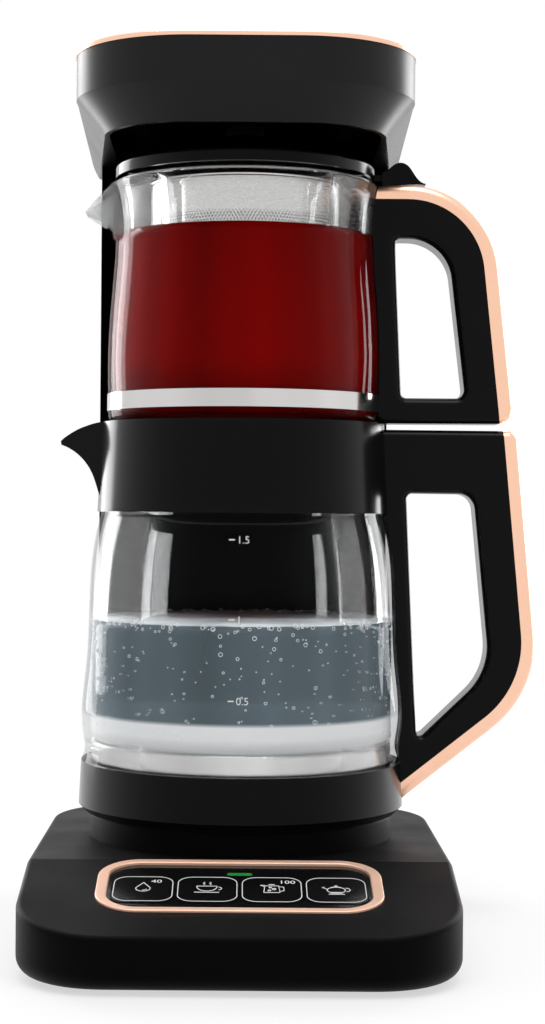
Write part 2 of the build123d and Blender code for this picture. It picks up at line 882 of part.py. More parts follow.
def column_rear_cover():
    cover = column_wall_ring() - column_front_zone()
    inner_y = column_back_y - column_wall
    for x, z in column_screw_places():
        cover += lying(column_boss_r + column_wall, column_boss_y, inner_y, x, z) & raised(
            column_outline(0), stand_deck_z, head_band_z
        )
        cover -= lying(screw_head_r + screw_clearance, column_seat_y, column_back_y, x, z)
        cover -= lying(screw_r + screw_clearance, column_boss_y, column_seat_y, x, z)
    return cover


def column_screws():
    screws = [
        lying(screw_head_r, column_seat_y, column_seat_y + screw_head_h, x, z)
        + lying(screw_r, column_boss_y - boss_pilot_depth + column_screw_tip_gap, column_seat_y, x, z)
        for x, z in column_screw_places()
    ]
    return Compound(children=screws)


# ---- Head ----
def head_outline(inset, back_inset=0.0):
    """The head's plan outline, or a smaller copy of it; the back stays flush with the column."""
    return plan(
        head_half_width - inset,
        head_front_y + inset,
        column_back_y - back_inset,
        head_corner_r - inset,
        head_back_corner_r - back_inset,
    )


def head_inset_at(z):
    """How far the tapered underside of the head steps in at a height."""
    return head_inset * (head_band_z - z) / (head_band_z - head_rim_z)


def head_taper(inset, low, high):
    """The tapered lower part of the head between two heights."""
    lower = Pos(0, 0, low) * head_outline(head_inset_at(low) + inset, inset)
    upper = Pos(0, 0, high) * head_outline(head_inset_at(high) + inset, inset)
    return loft([lower.face(), upper.face()], ruled=True)


def head_cheek():
    """The head's side where it widens towards the column, down to the rim, on the handle side."""
    upper = Vector(head_half_width, cheek_start_y, head_band_z)
    lower = Vector(head_half_width - head_inset, head_front_y + head_corner_r, head_rim_z)
    rear = Vector(head_half_width - cheek_step, cheek_end_y, head_rim_z)
    out = (lower - upper).cross(rear - upper).normalized()
    reach = 4 * head_half_width
    outside = Plane(origin=lower, z_dir=out) * (Pos(0, 0, reach / 2) * Box(reach, reach, reach))
    body = raised(head_outline(0), head_rim_z, head_band_z)
    return (body & block((0, lower.Y, head_rim_z), (reach, column_back_y, head_band_z))) - outside


def column_block():
    return raised(column_outline(0), stand_deck_z, head_band_z)


def head_slab(inset, low, high):
    """The head's outline stepped in all round, between two heights."""
    return raised(head_outline(inset, inset), low, high)


def head_housing():
    cheek = head_cheek()
    housing = raised(head_outline(0), head_band_z, head_top_z) + head_taper(0, head_rim_z, head_band_z)
    housing += cheek + mirror(cheek, about=Plane.YZ)
    lip_top = head_lip_z + head_lip
    plate_top = underside_z + underside_t
    hollow = head_taper(head_wall, head_rim_z, plate_top) + head_slab(head_wall, plate_top, head_lip_z)
    hollow += head_slab(trim_width + head_lip, head_lip_z, lip_top)
    hollow += head_slab(trim_width, lip_top, head_top_z)
    return housing - hollow - column_block()


def head_underside_plate():
    plate = head_taper(head_wall, underside_z, underside_z + underside_t) - column_block()
    for x in (-underside_screw_x, underside_screw_x):
        plate -= disc(screw_r + screw_clearance, underside_z, underside_z + underside_t, x, underside_screw_y)
    return plate - disc(riser_r, underside_z, underside_z + underside_t)


def head_top_cover():
    low = head_lip_z + head_lip
    inset = trim_width + cover_clearance
    cover = head_slab(inset, low, head_top_z + trim_height - cover_drop)
    cover = fillet(top_edges(cover), cover_clearance)
    for x in (-underside_screw_x, underside_screw_x):
        cover += disc(boss_r, underside_z + underside_t, low, x, underside_screw_y)
        cover -= disc(screw_r, underside_z + underside_t, low, x, underside_screw_y)
    return cover


def head_trim():
    high = head_top_z + trim_height
    trim = raised(head_outline(-trim_proud), head_top_z, high) - head_slab(trim_width, head_top_z, high)
    edges = trim.faces().sort_by(Axis.Z)[-1].outer_wire().edges()
    return fillet(edges, trim_edge_r)


def shower_nozzle():
    low = underside_z - nozzle_drop
    nozzle = disc(nozzle_r, low, underside_z)
    nozzle = fillet(bottom_edges(nozzle), nozzle_edge_r)
    nozzle -= disc(riser_r, low + nozzle_edge_r, underside_z)
    for index in range(nozzle_hole_count):
        turn = Rot(0, 0, index * 360 / nozzle_hole_count)
        nozzle -= turn * disc(nozzle_hole_r, low, low + nozzle_edge_r, riser_bore_r / 2)
    return nozzle


def underside_screws():
    screws = [
        disc(underside_cap_r, underside_z - screw_head_h, underside_z, x, underside_screw_y)
        + disc(screw_r, underside_z, head_lip_z, x, underside_screw_y)
        for x in (-underside_screw_x, underside_screw_x)
    ]
    return Compound(children=screws)


def riser_tube():
    low = underside_z - nozzle_drop + nozzle_edge_r
    return pipe(
        [(0, riser_y, hose_top_z), (0, riser_y, riser_top_z), (0, 0, riser_top_z), (0, 0, low)],
        riser_bend_r,
        riser_r,
        riser_bore_r,
    )


# ---- Kettle ----
def kettle_glass_curve(gap):
    """The glass's outer curve from its pinched foot to its neck, moved out by a gap."""
    return Spline(
        (kettle_ring_top_r - foot_step + gap, 0, kettle_ring_top_z),
        (foot_pinch_r + gap, 0, foot_pinch_z),
        (glass_low_r + gap, 0, glass_low_z),
        (glass_mid_r + gap, 0, glass_mid_z),
        (glass_high_r + gap, 0, glass_high_z),
        (neck_r + gap, 0, neck_z),
    )


def kettle_glass():
    """The glass wall: a pinched foot, a gently tapering bowl and a narrow neck."""
    foot_out_r = kettle_ring_top_r - foot_step
    outer_low = kettle_glass_curve(0)
    inner = Spline(
        (heater_r + heater_gap, 0, heater_top_z),
        (glass_mid_r - glass_wall, 0, glass_mid_z),
        (glass_high_r - glass_wall, 0, glass_high_z),
        (neck_r - glass_wall, 0, neck_z),
    )
    edges = [
        outer_low,
        Polyline((neck_r, 0, neck_z), (neck_r, 0, neck_top_z), (neck_r - glass_wall, 0, neck_top_z)),
        Line((neck_r - glass_wall, 0, neck_top_z), (neck_r - glass_wall, 0, neck_z)),
        inner,
        Polyline(
            (heater_r + heater_gap, 0, heater_top_z),
            (heater_r + heater_gap, 0, glass_foot_z),
            (ring_bore_r - seal_squeeze, 0, glass_foot_z),
            (ring_bore_r - seal_squeeze, 0, kettle_ring_top_z),
            (foot_out_r, 0, kettle_ring_top_z),
        ),
    ]
    return revolve(make_face(Curve() + edges), Axis.Z)


def kettle_base_ring():
    """The black ring around the kettle's foot, with the ledge that carries glass and heater."""
    low = kettle_bottom_z + kettle_floor_gap
    chamfer_top = low + kettle_ring_chamfer
    return turned(
        [
            (kettle_skirt_r + cover_fit, low),
            (kettle_ring_bottom_r - kettle_ring_chamfer, low),
            (kettle_ring_bottom_r, chamfer_top),
            (kettle_ring_top_r, kettle_ring_top_z),
            (ring_bore_r, kettle_ring_top_z),
            (ring_bore_r, kettle_ledge_z + kettle_ledge_t),
            (kettle_ledge_inner_r, kettle_ledge_z + kettle_ledge_t),
            (kettle_ledge_inner_r, kettle_ledge_z),
            (kettle_skirt_r + cover_fit, kettle_ledge_z),
        ]
    )


def kettle_bottom_cover():
    low = kettle_bottom_z
    cover = disc(kettle_skirt_r, low, kettle_cover_rim_z)
    cover -= disc(cover_inner_r, low + kettle_cover_t, kettle_cover_rim_z)
    cover -= disc(socket_r, low, low + kettle_cover_t)
    return cover - disc(valve_r, low, low + kettle_cover_t, 0, inlet_y)


def heating_plate():
    """The steel floor of the kettle: a shallow pan whose skirt stands on the seal."""
    pan = disc(heater_r, glass_foot_z, heater_top_z)
    pan = fillet(top_edges(pan), heater_t)
    pan -= disc(heater_r - heater_t, glass_foot_z, heater_top_z - heater_t)
    return pan - disc(valve_r, heater_top_z - heater_t, heater_top_z, 0, inlet_y)


def heating_element():
    """A tubular element bent into an open ring under the steel floor."""
    level = heater_top_z - heater_t - element_r
    section = Plane(origin=(element_ring_r, 0, level), z_dir=(0, 1, 0)) * Circle(element_r)
    loop = revolve(section, Axis.Z, element_span)
    return Rot(0, 0, element_start) * loop


def thermostat():
    width, depth, height = thermostat_size
    top = heater_top_z - heater_t
    return block(
        (thermostat_x - width / 2, -depth / 2, top - height), (thermostat_x + width / 2, depth / 2, top)
    )


def connector_socket():
    """The cup in the kettle's underside that drops over the stand's connector post."""
    low = kettle_bottom_z
    ceiling = seat_z + post_height + socket_t
    socket = disc(socket_r, low, ceiling + socket_t)
    return socket - disc(post_r + socket_gap, low, ceiling)


def valve_body():
    flange_top = heater_top_z + valve_flange_t
    body = disc(valve_r, valve_foot_z, heater_top_z, 0, inlet_y)
    body += disc(valve_flange_r, heater_top_z, flange_top, 0, inlet_y)
    body -= disc(valve_bore_r, valve_foot_z, flange_top, 0, inlet_y)
    guide_low = valve_guide_z
    guide = disc(valve_bore_r, guide_low, guide_low + valve_guide_t, 0, inlet_y)
    guide -= disc(plunger_r + plunger_fit, guide_low, guide_low + valve_guide_t, 0, inlet_y)
    for index in range(valve_port_count):
        angle = math.radians(360 / valve_port_count * index)
        guide -= disc(
            valve_port_r,
            guide_low,
            guide_low + valve_guide_t,
            valve_port_ring_r * math.cos(angle),
            inlet_y + valve_port_ring_r * math.sin(angle),
        )
    return body + guide


def valve_spring():
    low = plunger_foot_z + plunger_clip_rise + plunger_clip_t + spring_gap
    high = valve_guide_z - spring_wire_r
    height = high - low - spring_wire_r
    path = Helix(height / spring_turns, height, spring_r, center=(0, 0, 0))
    section = Plane(origin=path @ 0, z_dir=path % 0) * Circle(spring_wire_r)
    coil = sweep(section, path, is_frenet=True)
    return Pos(0, inlet_y, low + spring_wire_r) * coil


def valve_plunger():
    head_low = heater_top_z + valve_flange_t + valve_travel
    clip_low = plunger_foot_z + plunger_clip_rise
    plunger = disc(plunger_r, plunger_foot_z, head_low, 0, inlet_y)
    plunger += disc(plunger_clip_r, clip_low, clip_low + plunger_clip_t, 0, inlet_y)
    head = disc(plunger_head_r, head_low, head_low + plunger_head_t, 0, inlet_y)
    return plunger + chamfer(top_edges(head), plunger_head_t / 2)


def beak_profile(points_top, points_under, inner_x):
    """A spout's side outline: a curved top line and a curved underside that meet at the tip."""
    top = Spline(*[(-x, 0, z) for x, z in points_top], tangents=[(-1, 0, 0), lip_nose_fall])
    under = Spline(*[(-x, 0, z) for x, z in points_under])
    tip = Line(top @ 1, under @ 0)
    back = Polyline(under @ 1, (-inner_x, 0, points_under[-1][1]), (-inner_x, 0, points_top[0][1]), top @ 0)
    return make_face(Curve() + [top, tip, under, back])


def beak_plan(tip_x, tip_r, root_x, root_r):
    """A spout's plan outline: a small round tip and a wide root joined by straight sides."""
    tip = Pos(-(tip_x - tip_r), 0) * Circle(tip_r)
    root = Pos(-root_x, 0) * Circle(root_r)
    return make_hull(tip.edges() + root.edges())


def collar_lip(inset):
    """The collar's pouring lip, or the smaller form that hollows it."""
    top = placed(collar_lip_top, collar_top_r, collar_top_z)
    if inset:
        top = [(x, collar_top_z + inset) for x, _ in top]
    under = placed(collar_lip_under, collar_top_r, collar_top_z + inset * lip_floor_ratio)
    side = extrude(beak_profile(top, under, lip_root_x), 2 * lip_root_r, both=True)
    tip_x = lip_tip_x - inset * lip_tip_open
    outline = beak_plan(tip_x, lip_tip_r - inset / 2, lip_root_x, lip_root_r - inset)
    return side & raised(outline, collar_bottom_z, collar_top_z + inset)


def collar_blank():
    """The collar and the rim ring in one, before they are split at the seam."""
    wall = turned(
        [
            (neck_r + neck_gap, collar_bottom_z),
            (collar_bottom_r, collar_bottom_z),
            (collar_top_r, collar_top_z),
            (collar_bore_r, collar_top_z),
            (collar_bore_r, neck_top_z + seal_t / 2),
            (neck_r + neck_gap, neck_top_z + seal_t / 2),
        ]
    )
    bore = disc(collar_bore_r, collar_bottom_z, collar_top_z)
    bore += disc(neck_r + neck_gap, collar_bottom_z, neck_top_z + seal_t / 2)
    return (wall + (collar_lip(0) - bore)) - collar_lip(lip_wall)


def rim_zone():
    """Everything above the seam between the collar and its rim ring."""
    reach = 2 * lip_tip_x
    return block((-reach, -reach, seam_z), (reach, reach, 2 * collar_top_z))


def kettle_collar():
    return collar_blank() - rim_zone() - handle_screw_shanks()


def kettle_rim_ring():
    """The ring around the kettle's mouth, with the inner flange that the teapot stands on."""
    flange = ring(collar_bore_r, seat_flange_inner_r, seam_z, collar_top_z)
    for index in range(steam_hole_count):
        angle = math.radians(360 / steam_hole_count * (index + 0.5))
        middle_r = (collar_bore_r + seat_flange_inner_r) / 2
        flange -= disc(
            steam_hole_r, seam_z, collar_top_z, middle_r * math.cos(angle), middle_r * math.sin(angle)
        )
    return (collar_blank() & rim_zone()) + flange


def kettle_seals():
    """The seal under the glass and the thinner one over its neck."""
    low = kettle_ledge_z + kettle_ledge_t
    under = ring(ring_bore_r, kettle_ledge_inner_r, low, glass_foot_z)
    over = ring(neck_r + neck_gap, neck_r - glass_wall, neck_top_z, neck_top_z + seal_t / 2)
    return Compound(children=[under, over])


# ---- Handles ----
def inset_path(points, width):
    """The same open path moved sideways, to the right of its travel."""
    steps = [(Vector(*b) - Vector(*a)).normalized() for a, b in zip(points, points[1:])]
    sides = [Vector(step.Y, -step.X) for step in steps]
    moved = [Vector(*points[0]) + sides[0] * width]
    for corner, before, after in zip(points[1:-1], sides, sides[1:]):
        moved.append(Vector(*corner) + (before + after) * (width / (1 + before.dot(after))))
    moved.append(Vector(*points[-1]) + sides[-1] * width)
    return [(point.X, point.Y) for point in moved]


def handle_blank(rim, rim_radii, inner_x, hole, hole_radii):
    """A handle in side view: an outer rim line closed towards the pot, with its finger hole."""
    outer = FilletPolyline(*rim, radius=rim_radii)
    back = Polyline(outer @ 1, (inner_x, rim[-1][1]), (inner_x, rim[0][1]), outer @ 0)
    face = make_face(Curve() + [outer, back])
    face -= make_face(FilletPolyline(*hole, radius=hole_radii, close=True))
    solid = extrude(Plane.XZ * face, handle_t / 2, both=True)
    edges = [e for e in solid.edges() if abs(abs(e.center().Y) - handle_t / 2) < same]
    keep = [e for e in edges if e.bounding_box().max.X > inner_x + same]
    return fillet(keep, handle_edge_r)


def lengthened(points, reach):
    """The same open path with both ends pulled out along their own runs."""
    first, second = Vector(*points[0]), Vector(*points[1])
    last, before = Vector(*points[-1]), Vector(*points[-2])
    start = first + (first - second).normalized() * reach
    end = last + (last - before).normalized() * reach
    return [(start.X, start.Y)] + list(points[1:-1]) + [(end.X, end.Y)]


def handle_strip(rim, rim_radii, width):
    """The decorative strip along a handle's outer rim, as a region to cut or keep."""
    outer = lengthened(inset_path(rim, -strip_overrun), 2 * strip_overrun)
    inner = lengthened(inset_path(rim, width), 2 * strip_overrun)
    outer_line = FilletPolyline(*outer, radius=[r + strip_overrun for r in rim_radii])
    inner_line = FilletPolyline(*inner, radius=[r - width for r in rim_radii])
    ends = [Line(outer_line @ 0, inner_line @ 0), Line(outer_line @ 1, inner_line @ 1)]
    return extrude(Plane.XZ * make_face(Curve() + [outer_line, inner_line] + ends), handle_t, both=True)


def kettle_envelope(gap):
    """The kettle's outer form, with a gap around the glass only."""
    glass = kettle_glass_curve(gap)
    below = Polyline(
        glass @ 0,
        (kettle_ring_top_r, 0, kettle_ring_top_z),
        (kettle_ring_bottom_r, 0, kettle_bottom_z + kettle_floor_gap + kettle_ring_chamfer),
        (kettle_ring_bottom_r, 0, kettle_bottom_z),
        (0, 0, kettle_bottom_z),
        (0, 0, collar_top_z),
        (collar_top_r, 0, collar_top_z),
        (collar_bottom_r, 0, collar_bottom_z),
        glass @ 1,
    )
    return revolve(make_face(Curve() + [glass, below]), Axis.Z)


def handle_screw_hole(z, seat_x, tip_x):
    """The straight hole that a handle screw fills, along X."""
    return Pos((seat_x + tip_x) / 2, 0, z) * (Rot(0, 90, 0) * Cylinder(screw_r, tip_x - seat_x))


def handle_screw_shanks():
    """The shanks of the screws that hold the kettle's handle against the collar."""
    return [handle_screw_hole(z, handle_screw_seat_x, handle_screw_tip_x) for z in handle_screw_heights]


def kettle_handle_blank():
    blank = handle_blank(kettle_rim_line, kettle_rim_radii, handle_root_x, kettle_hole, kettle_hole_radii)
    return blank - kettle_envelope(handle_glass_gap)


def kettle_handle():
    strip = handle_strip(kettle_rim_line[1:], kettle_rim_radii[1:], kettle_trim_w)
    return kettle_handle_blank() - strip - handle_screw_shanks()


def kettle_handle_trim():
    return kettle_handle_blank() & handle_strip(kettle_rim_line[1:], kettle_rim_radii[1:], kettle_trim_w)


def kettle_handle_screws():
    head_x = handle_screw_seat_x - screw_head_h / 2
    head = Rot(0, 90, 0) * Cylinder(screw_head_r, screw_head_h)
    heads = [Pos(head_x, 0, z) * head for z in handle_screw_heights]
    return Compound(children=[a + b for a, b in zip(heads, handle_screw_shanks())])


# ---- Teapot ----
def pot_lip(inset):
    """The teapot's pouring lip, or the smaller form that hollows it."""
    top = placed(pot_lip_top, pot_rim_r, pot_rim_z)
    if inset:
        top = [(x, pot_rim_z + inset) for x, _ in top]
    under = placed(pot_lip_under, pot_rim_r, pot_rim_z + inset)
    side = extrude(beak_profile(top, under, pot_lip_root_x), 2 * pot_lip_root_r, both=True)
    outline = beak_plan(pot_lip_tip_x, pot_lip_tip_r - inset / 2, pot_lip_root_x, pot_lip_root_r - inset)
    return side & raised(outline, pot_belly_z, pot_rim_z + inset)


def teapot_glass_curve(gap):
    """The teapot glass's outer curve from its band to its rim, moved out by a gap."""
    return Spline(
        (pot_low_r + gap, 0, band_top_z),
        (pot_belly_r + gap, 0, pot_belly_z),
        (pot_mid_r + gap, 0, pot_mid_z),
        (pot_neck_r + gap, 0, pot_neck_z),
        (pot_rim_r + gap, 0, pot_rim_z),
    )


def teapot_glass():
    floor_z_inside = collar_top_z + pot_floor_t
    low_corner = FilletPolyline(
        (0, 0, collar_top_z),
        (pot_foot_r + pot_foot_corner_r, 0, collar_top_z),
        (pot_low_r, 0, band_bottom_z),
        radius=pot_foot_corner_r,
    )
    groove = Polyline(
        (pot_low_r, 0, band_bottom_z),
        (band_groove_r, 0, band_bottom_z),
        (band_groove_r, 0, band_top_z),
        (pot_low_r, 0, band_top_z),
    )
    outer = teapot_glass_curve(0)
    inner_low = FilletPolyline(
        (pot_belly_r - pot_wall, 0, pot_belly_z),
        (band_groove_r - pot_wall, 0, floor_z_inside),
        (0, 0, floor_z_inside),
        radius=pot_floor_t,
    )
    inner = Spline(
        (pot_rim_r - pot_wall, 0, pot_rim_z),
        (pot_neck_r - pot_wall, 0, pot_neck_z),
        (pot_mid_r - pot_wall, 0, pot_mid_z),
        (pot_belly_r - pot_wall, 0, pot_belly_z),
    )
    rim = Line(outer @ 1, inner @ 0)
    axis_line = Line((0, 0, floor_z_inside), (0, 0, collar_top_z))
    section = [low_corner, groove, outer, rim, inner, inner_low, axis_line]
    glass = revolve(make_face(Curve() + section), Axis.Z)
    glass = fillet(top_edges(glass), pot_rim_bead_r)
    core = turned(
        [
            (0, pot_belly_z),
            (pot_belly_r - pot_wall, pot_belly_z),
            (pot_mid_r - pot_wall, pot_mid_z),
            (pot_neck_r - pot_wall, pot_neck_z),
            (pot_rim_r - pot_wall, pot_rim_z),
            (0, pot_rim_z),
        ]
    )
    lip = pot_lip(0) - core
    return glass + lip - pot_lip(pot_lip_wall)


def teapot_band():
    return ring(band_r, band_groove_r, band_bottom_z, band_top_z)


def teapot_envelope(gap):
    """The teapot's outer form, with a gap around the glass only."""
    glass = teapot_glass_curve(gap)
    below = Polyline(
        glass @ 0,
        (band_r, 0, band_top_z),
        (band_r, 0, band_bottom_z),
        (band_r, 0, collar_top_z),
        (0, 0, collar_top_z),
        (0, 0, pot_rim_z),
        glass @ 1,
    )
    return revolve(make_face(Curve() + [glass, below]), Axis.Z)


def teapot_handle_blank():
    blank = handle_blank(pot_rim_line, pot_rim_radii, pot_root_x, pot_hole, pot_hole_radii)
    return blank - teapot_envelope(socket_gap)


def teapot_strip():
    return handle_strip(pot_rim_line[:3], pot_rim_radii[:1], pot_trim_w)


def teapot_handle():
    body = teapot_handle_blank() - teapot_strip()
    return body - handle_screw_hole(pot_screw_z, band_groove_r, pot_screw_tip_x)


def teapot_handle_trim():
    return teapot_handle_blank() & teapot_strip()


def teapot_handle_screw():
    """A flush stud that holds the handle against the steel band."""
    return handle_screw_hole(pot_screw_z, band_r, pot_screw_tip_x)


def hinge_bracket():
    """Two ears on top of the handle that carry the lid's hinge pin."""
    ears = []
    for side in (-1, 1):
        low_y = lever_half_width + knuckle_gap
        width = hinge_half_length - low_y
        y = side * (low_y + width / 2)
        ear = block(
            (hinge_x - hinge_knuckle_r, y - width / 2, pot_rim_z),
            (hinge_x + hinge_knuckle_r, y + width / 2, hinge_z),
        )
        ear += lying(hinge_knuckle_r, y - width / 2, y + width / 2, hinge_x, hinge_z)
        ears.append(ear - lying(hinge_pin_r, y - width, y + width, hinge_x, hinge_z))
    return Compound(children=ears)


def lid_hinge_pin():
    return lying(hinge_pin_r, -hinge_half_length, hinge_half_length, hinge_x, hinge_z)


def infuser_basket():
    """A perforated steel cup hung from a wire ring."""
    basket = ring(basket_r, basket_r - basket_wall, basket_bottom_z, basket_top_z)
    basket += disc(basket_r, basket_bottom_z, basket_bottom_z + basket_wall)
    half_count = basket_slots_per_row // 2
    for row in range(basket_slot_rows):
        low = basket_slot_low_z + row * basket_slot_pitch
        bar = Pos(0, 0, low + basket_slot_h / 2) * Box(3 * basket_r, basket_slot_w, basket_slot_h)
        basket -= [Rot(0, 0, (index + 0.5) * 180 / half_count) * bar for index in range(half_count)]
    holes = [
        disc(
            basket_slot_w,
            basket_bottom_z,
            basket_bottom_z + basket_wall,
            basket_floor_ring_r * math.cos(angle),
            basket_floor_ring_r * math.sin(angle),
        )
        for angle in [math.tau * index / basket_slots_per_row for index in range(basket_slots_per_row)]
    ]
    return basket - holes + infuser_wire()


def infuser_wire():
    """The wire ring around the basket's mouth, with its arms that rest on the glass rim."""
    mouth = Pos(0, 0, basket_top_z) * Torus(basket_r, basket_ring_r)
    start = (basket_r, 0, basket_top_z)
    end = (basket_r + basket_arm_reach, 0, basket_top_z + basket_arm_rise)
    path = Line(start, end)
    arm = sweep(Plane(origin=path @ 0, z_dir=path % 0) * Circle(basket_arm_r), path)
    for index in range(basket_arm_count):
        mouth += Rot(0, 0, basket_arm_start + index * 360 / basket_arm_count) * arm
    return mouth


# ---- Lid ----
def lid_disc():
    lid = disc(lid_r, lid_bottom_z, lid_top_z)
    lid = fillet(top_edges(lid), lid_edge_r)
    lid -= disc(lid_r - lid_wall, lid_bottom_z, lid_top_z - lid_wall)
    lid -= disc(grommet_r, lid_bottom_z, lid_top_z)
    return lid


def lid_grommet():
    """The soft water inlet in the middle of the lid."""
    grommet = ring(grommet_r, grommet_bore_r, lid_top_z - 2 * lid_wall, lid_top_z)
    return grommet + ring(grommet_r + lid_wall, grommet_r, lid_top_z - 2 * lid_wall, lid_top_z - lid_wall)


def lid_thumb_lever():
    """The thumb fin with the hinge knuckle and the arm that carries the lid."""
    arm_top = lid_top_z - lid_wall * 1.5
    line = Spline(*placed(lever_line, hinge_x, hinge_z))
    tip = (line @ 1).X, (line @ 1).Y - lever_tip_t
    close = Polyline(line @ 1, tip, *placed(lever_under, hinge_x, hinge_z), (hinge_x, hinge_z), line @ 0)
    fin = extrude(Plane.XZ * make_face(Curve() + [line, close]), lever_half_width, both=True)
    lever = fin + lying(hinge_knuckle_r, -lever_half_width, lever_half_width, hinge_x, hinge_z)
    arm = block((lid_arm_x, -lever_half_width, lid_bottom_z), (hinge_x, lever_half_width, arm_top))
    lever += arm - disc(lid_r, lid_bottom_z, lid_top_z)
    return lever - lying(hinge_pin_r + hinge_pin_fit, -hinge_half_length, hinge_half_length, hinge_x, hinge_z)


# ---- Sub-parts, by the body that they belong to ----
stand_parts = {
    "base_housing": base_housing,
    "base_bottom_plate": base_bottom_plate,
    "base_feet": base_feet,
    "bottom_screws": bottom_screws,
    "seat_plate": seat_plate,
    "connector_post": connector_post,
    "connector_contacts": connector_contacts,
    "water_inlet": water_inlet,
    "inlet_gasket": inlet_gasket,
    "panel_bezel": panel_bezel,
    "panel_fascia": panel_fascia,
    "indicator_lens": indicator_lens,
    "panel_board": panel_board,
    "tact_switches": tact_switches,
    "power_board": power_board,
    "water_pump": water_pump,
    "pump_hoses": pump_hoses,
    "cord_gland": cord_gland,
    "column_front_cover": column_front_cover,
    "column_rear_cover": column_rear_cover,
    "column_screws": column_screws,
    "riser_tube": riser_tube,
    "head_housing": head_housing,
    "head_top_cover": head_top_cover,
    "head_trim": head_trim,
    "head_underside_plate": head_underside_plate,
    "shower_nozzle": shower_nozzle,
    "underside_screws": underside_screws,
}
kettle_parts = {
    "kettle_glass": kettle_glass,
    "kettle_collar": kettle_collar,
    "kettle_rim_ring": kettle_rim_ring,
    "kettle_seals": kettle_seals,
    "kettle_base_ring": kettle_base_ring,
    "kettle_bottom_cover": kettle_bottom_cover,
    "heating_plate": heating_plate,
    "heating_element": heating_element,
    "thermostat": thermostat,
    "connector_socket": connector_socket,
    "valve_body": valve_body,
    "valve_spring": valve_spring,
    "valve_plunger": valve_plunger,
    "kettle_handle": kettle_handle,
    "kettle_handle_trim": kettle_handle_trim,
    "kettle_handle_screws": kettle_handle_screws,
}
teapot_parts = {
    "teapot_glass": teapot_glass,
    "teapot_band": teapot_band,
    "teapot_handle": teapot_handle,
    "teapot_handle_trim": teapot_handle_trim,
    "teapot_handle_screw": teapot_handle_screw,
    "hinge_bracket": hinge_bracket,
    "lid_hinge_pin": lid_hinge_pin,
    "infuser_basket": infuser_basket,
    "lid_disc": lid_disc,
    "lid_grommet": lid_grommet,
    "lid_thumb_lever": lid_thumb_lever,
}

os.makedirs("parts", exist_ok=True)
for name, make in {**stand_parts, **kettle_parts, **teapot_parts}.items():
    write(name, make())
for index, name in enumerate(key_names):
    write(name, panel_key(index))
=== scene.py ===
import math
import random

import bmesh
import bpy
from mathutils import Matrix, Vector


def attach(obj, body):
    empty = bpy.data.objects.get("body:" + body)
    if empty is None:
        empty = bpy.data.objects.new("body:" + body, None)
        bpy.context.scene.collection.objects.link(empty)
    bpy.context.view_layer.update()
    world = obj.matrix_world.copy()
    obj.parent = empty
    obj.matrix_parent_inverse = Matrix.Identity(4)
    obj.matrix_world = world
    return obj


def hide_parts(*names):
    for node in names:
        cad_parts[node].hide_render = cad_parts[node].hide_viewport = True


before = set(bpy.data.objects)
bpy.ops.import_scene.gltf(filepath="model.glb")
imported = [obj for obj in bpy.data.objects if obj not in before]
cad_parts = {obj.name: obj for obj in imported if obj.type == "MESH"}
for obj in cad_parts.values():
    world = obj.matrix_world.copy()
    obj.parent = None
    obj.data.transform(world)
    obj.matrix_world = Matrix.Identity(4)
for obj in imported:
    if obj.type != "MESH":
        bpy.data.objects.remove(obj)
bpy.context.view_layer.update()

random.seed(7)
bpy.context.scene.view_settings.view_transform = "Standard"
WHITE = (1.0, 1.0, 1.0, 1.0)


# ---------------------------------------------------------------- node helpers
def tree(name):
    """A new material with an empty node tree and its output node."""
    material = bpy.data.materials.new(name)
    material.use_nodes = True
    nt = material.node_tree
    nt.nodes.clear()
    return material, nt, nt.nodes.new("ShaderNodeOutputMaterial")


def add(nt, kind, inputs=None, **settings):
    """Adds a node, with its settings and the default values of its inputs."""
    made = nt.nodes.new(kind)
    for key, value in settings.items():
        setattr(made, key, value)
    for key, value in (inputs or {}).items():
        made.inputs[key].default_value = value
    return made


def maths(nt, operation, a, b=None):
    """A Math node on sockets or numbers, as its output socket."""
    made = add(nt, "ShaderNodeMath", operation=operation)
    for index, value in enumerate((a, b)):
        if value is None:
            continue
        if isinstance(value, (int, float)):
            made.inputs[index].default_value = value
        else:
            nt.links.new(value, made.inputs[index])
    return made.outputs[0]


def grain(nt, scale, detail=3.0, stretch=(1, 1, 1)):
    """Noise in the object's own coordinates, stretched for brushed metal."""
    place = add(nt, "ShaderNodeTexCoord")
    fit = add(nt, "ShaderNodeMapping", {"Scale": stretch})
    noise = add(nt, "ShaderNodeTexNoise", {"Scale": scale, "Detail": detail})
    nt.links.new(place.outputs["Object"], fit.inputs["Vector"])
    nt.links.new(fit.outputs["Vector"], noise.inputs["Vector"])
    return noise.outputs["Fac"]


def spread(nt, source, low, high):
    """Maps 0..1 noise to a narrow band of values."""
    fit = add(nt, "ShaderNodeMapRange", {"From Min": 0.3, "From Max": 0.7, "To Min": low, "To Max": high})
    nt.links.new(source, fit.inputs["Value"])
    return fit.outputs["Result"]


def varied(nt, source, dark, light):
    """A colour that drifts between two close shades."""
    mix = add(nt, "ShaderNodeMix", data_type="RGBA")
    mix.inputs["A"].default_value = (*dark, 1)
    mix.inputs["B"].default_value = (*light, 1)
    nt.links.new(source, mix.inputs["Factor"])
    return mix.outputs["Result"]


def bumped(nt, shader, source, strength, distance):
    """Lets noise tilt a shader's normals a little."""
    bump = add(nt, "ShaderNodeBump", {"Strength": strength, "Distance": distance})
    nt.links.new(source, bump.inputs["Height"])
    nt.links.new(bump.outputs["Normal"], shader.inputs["Normal"])


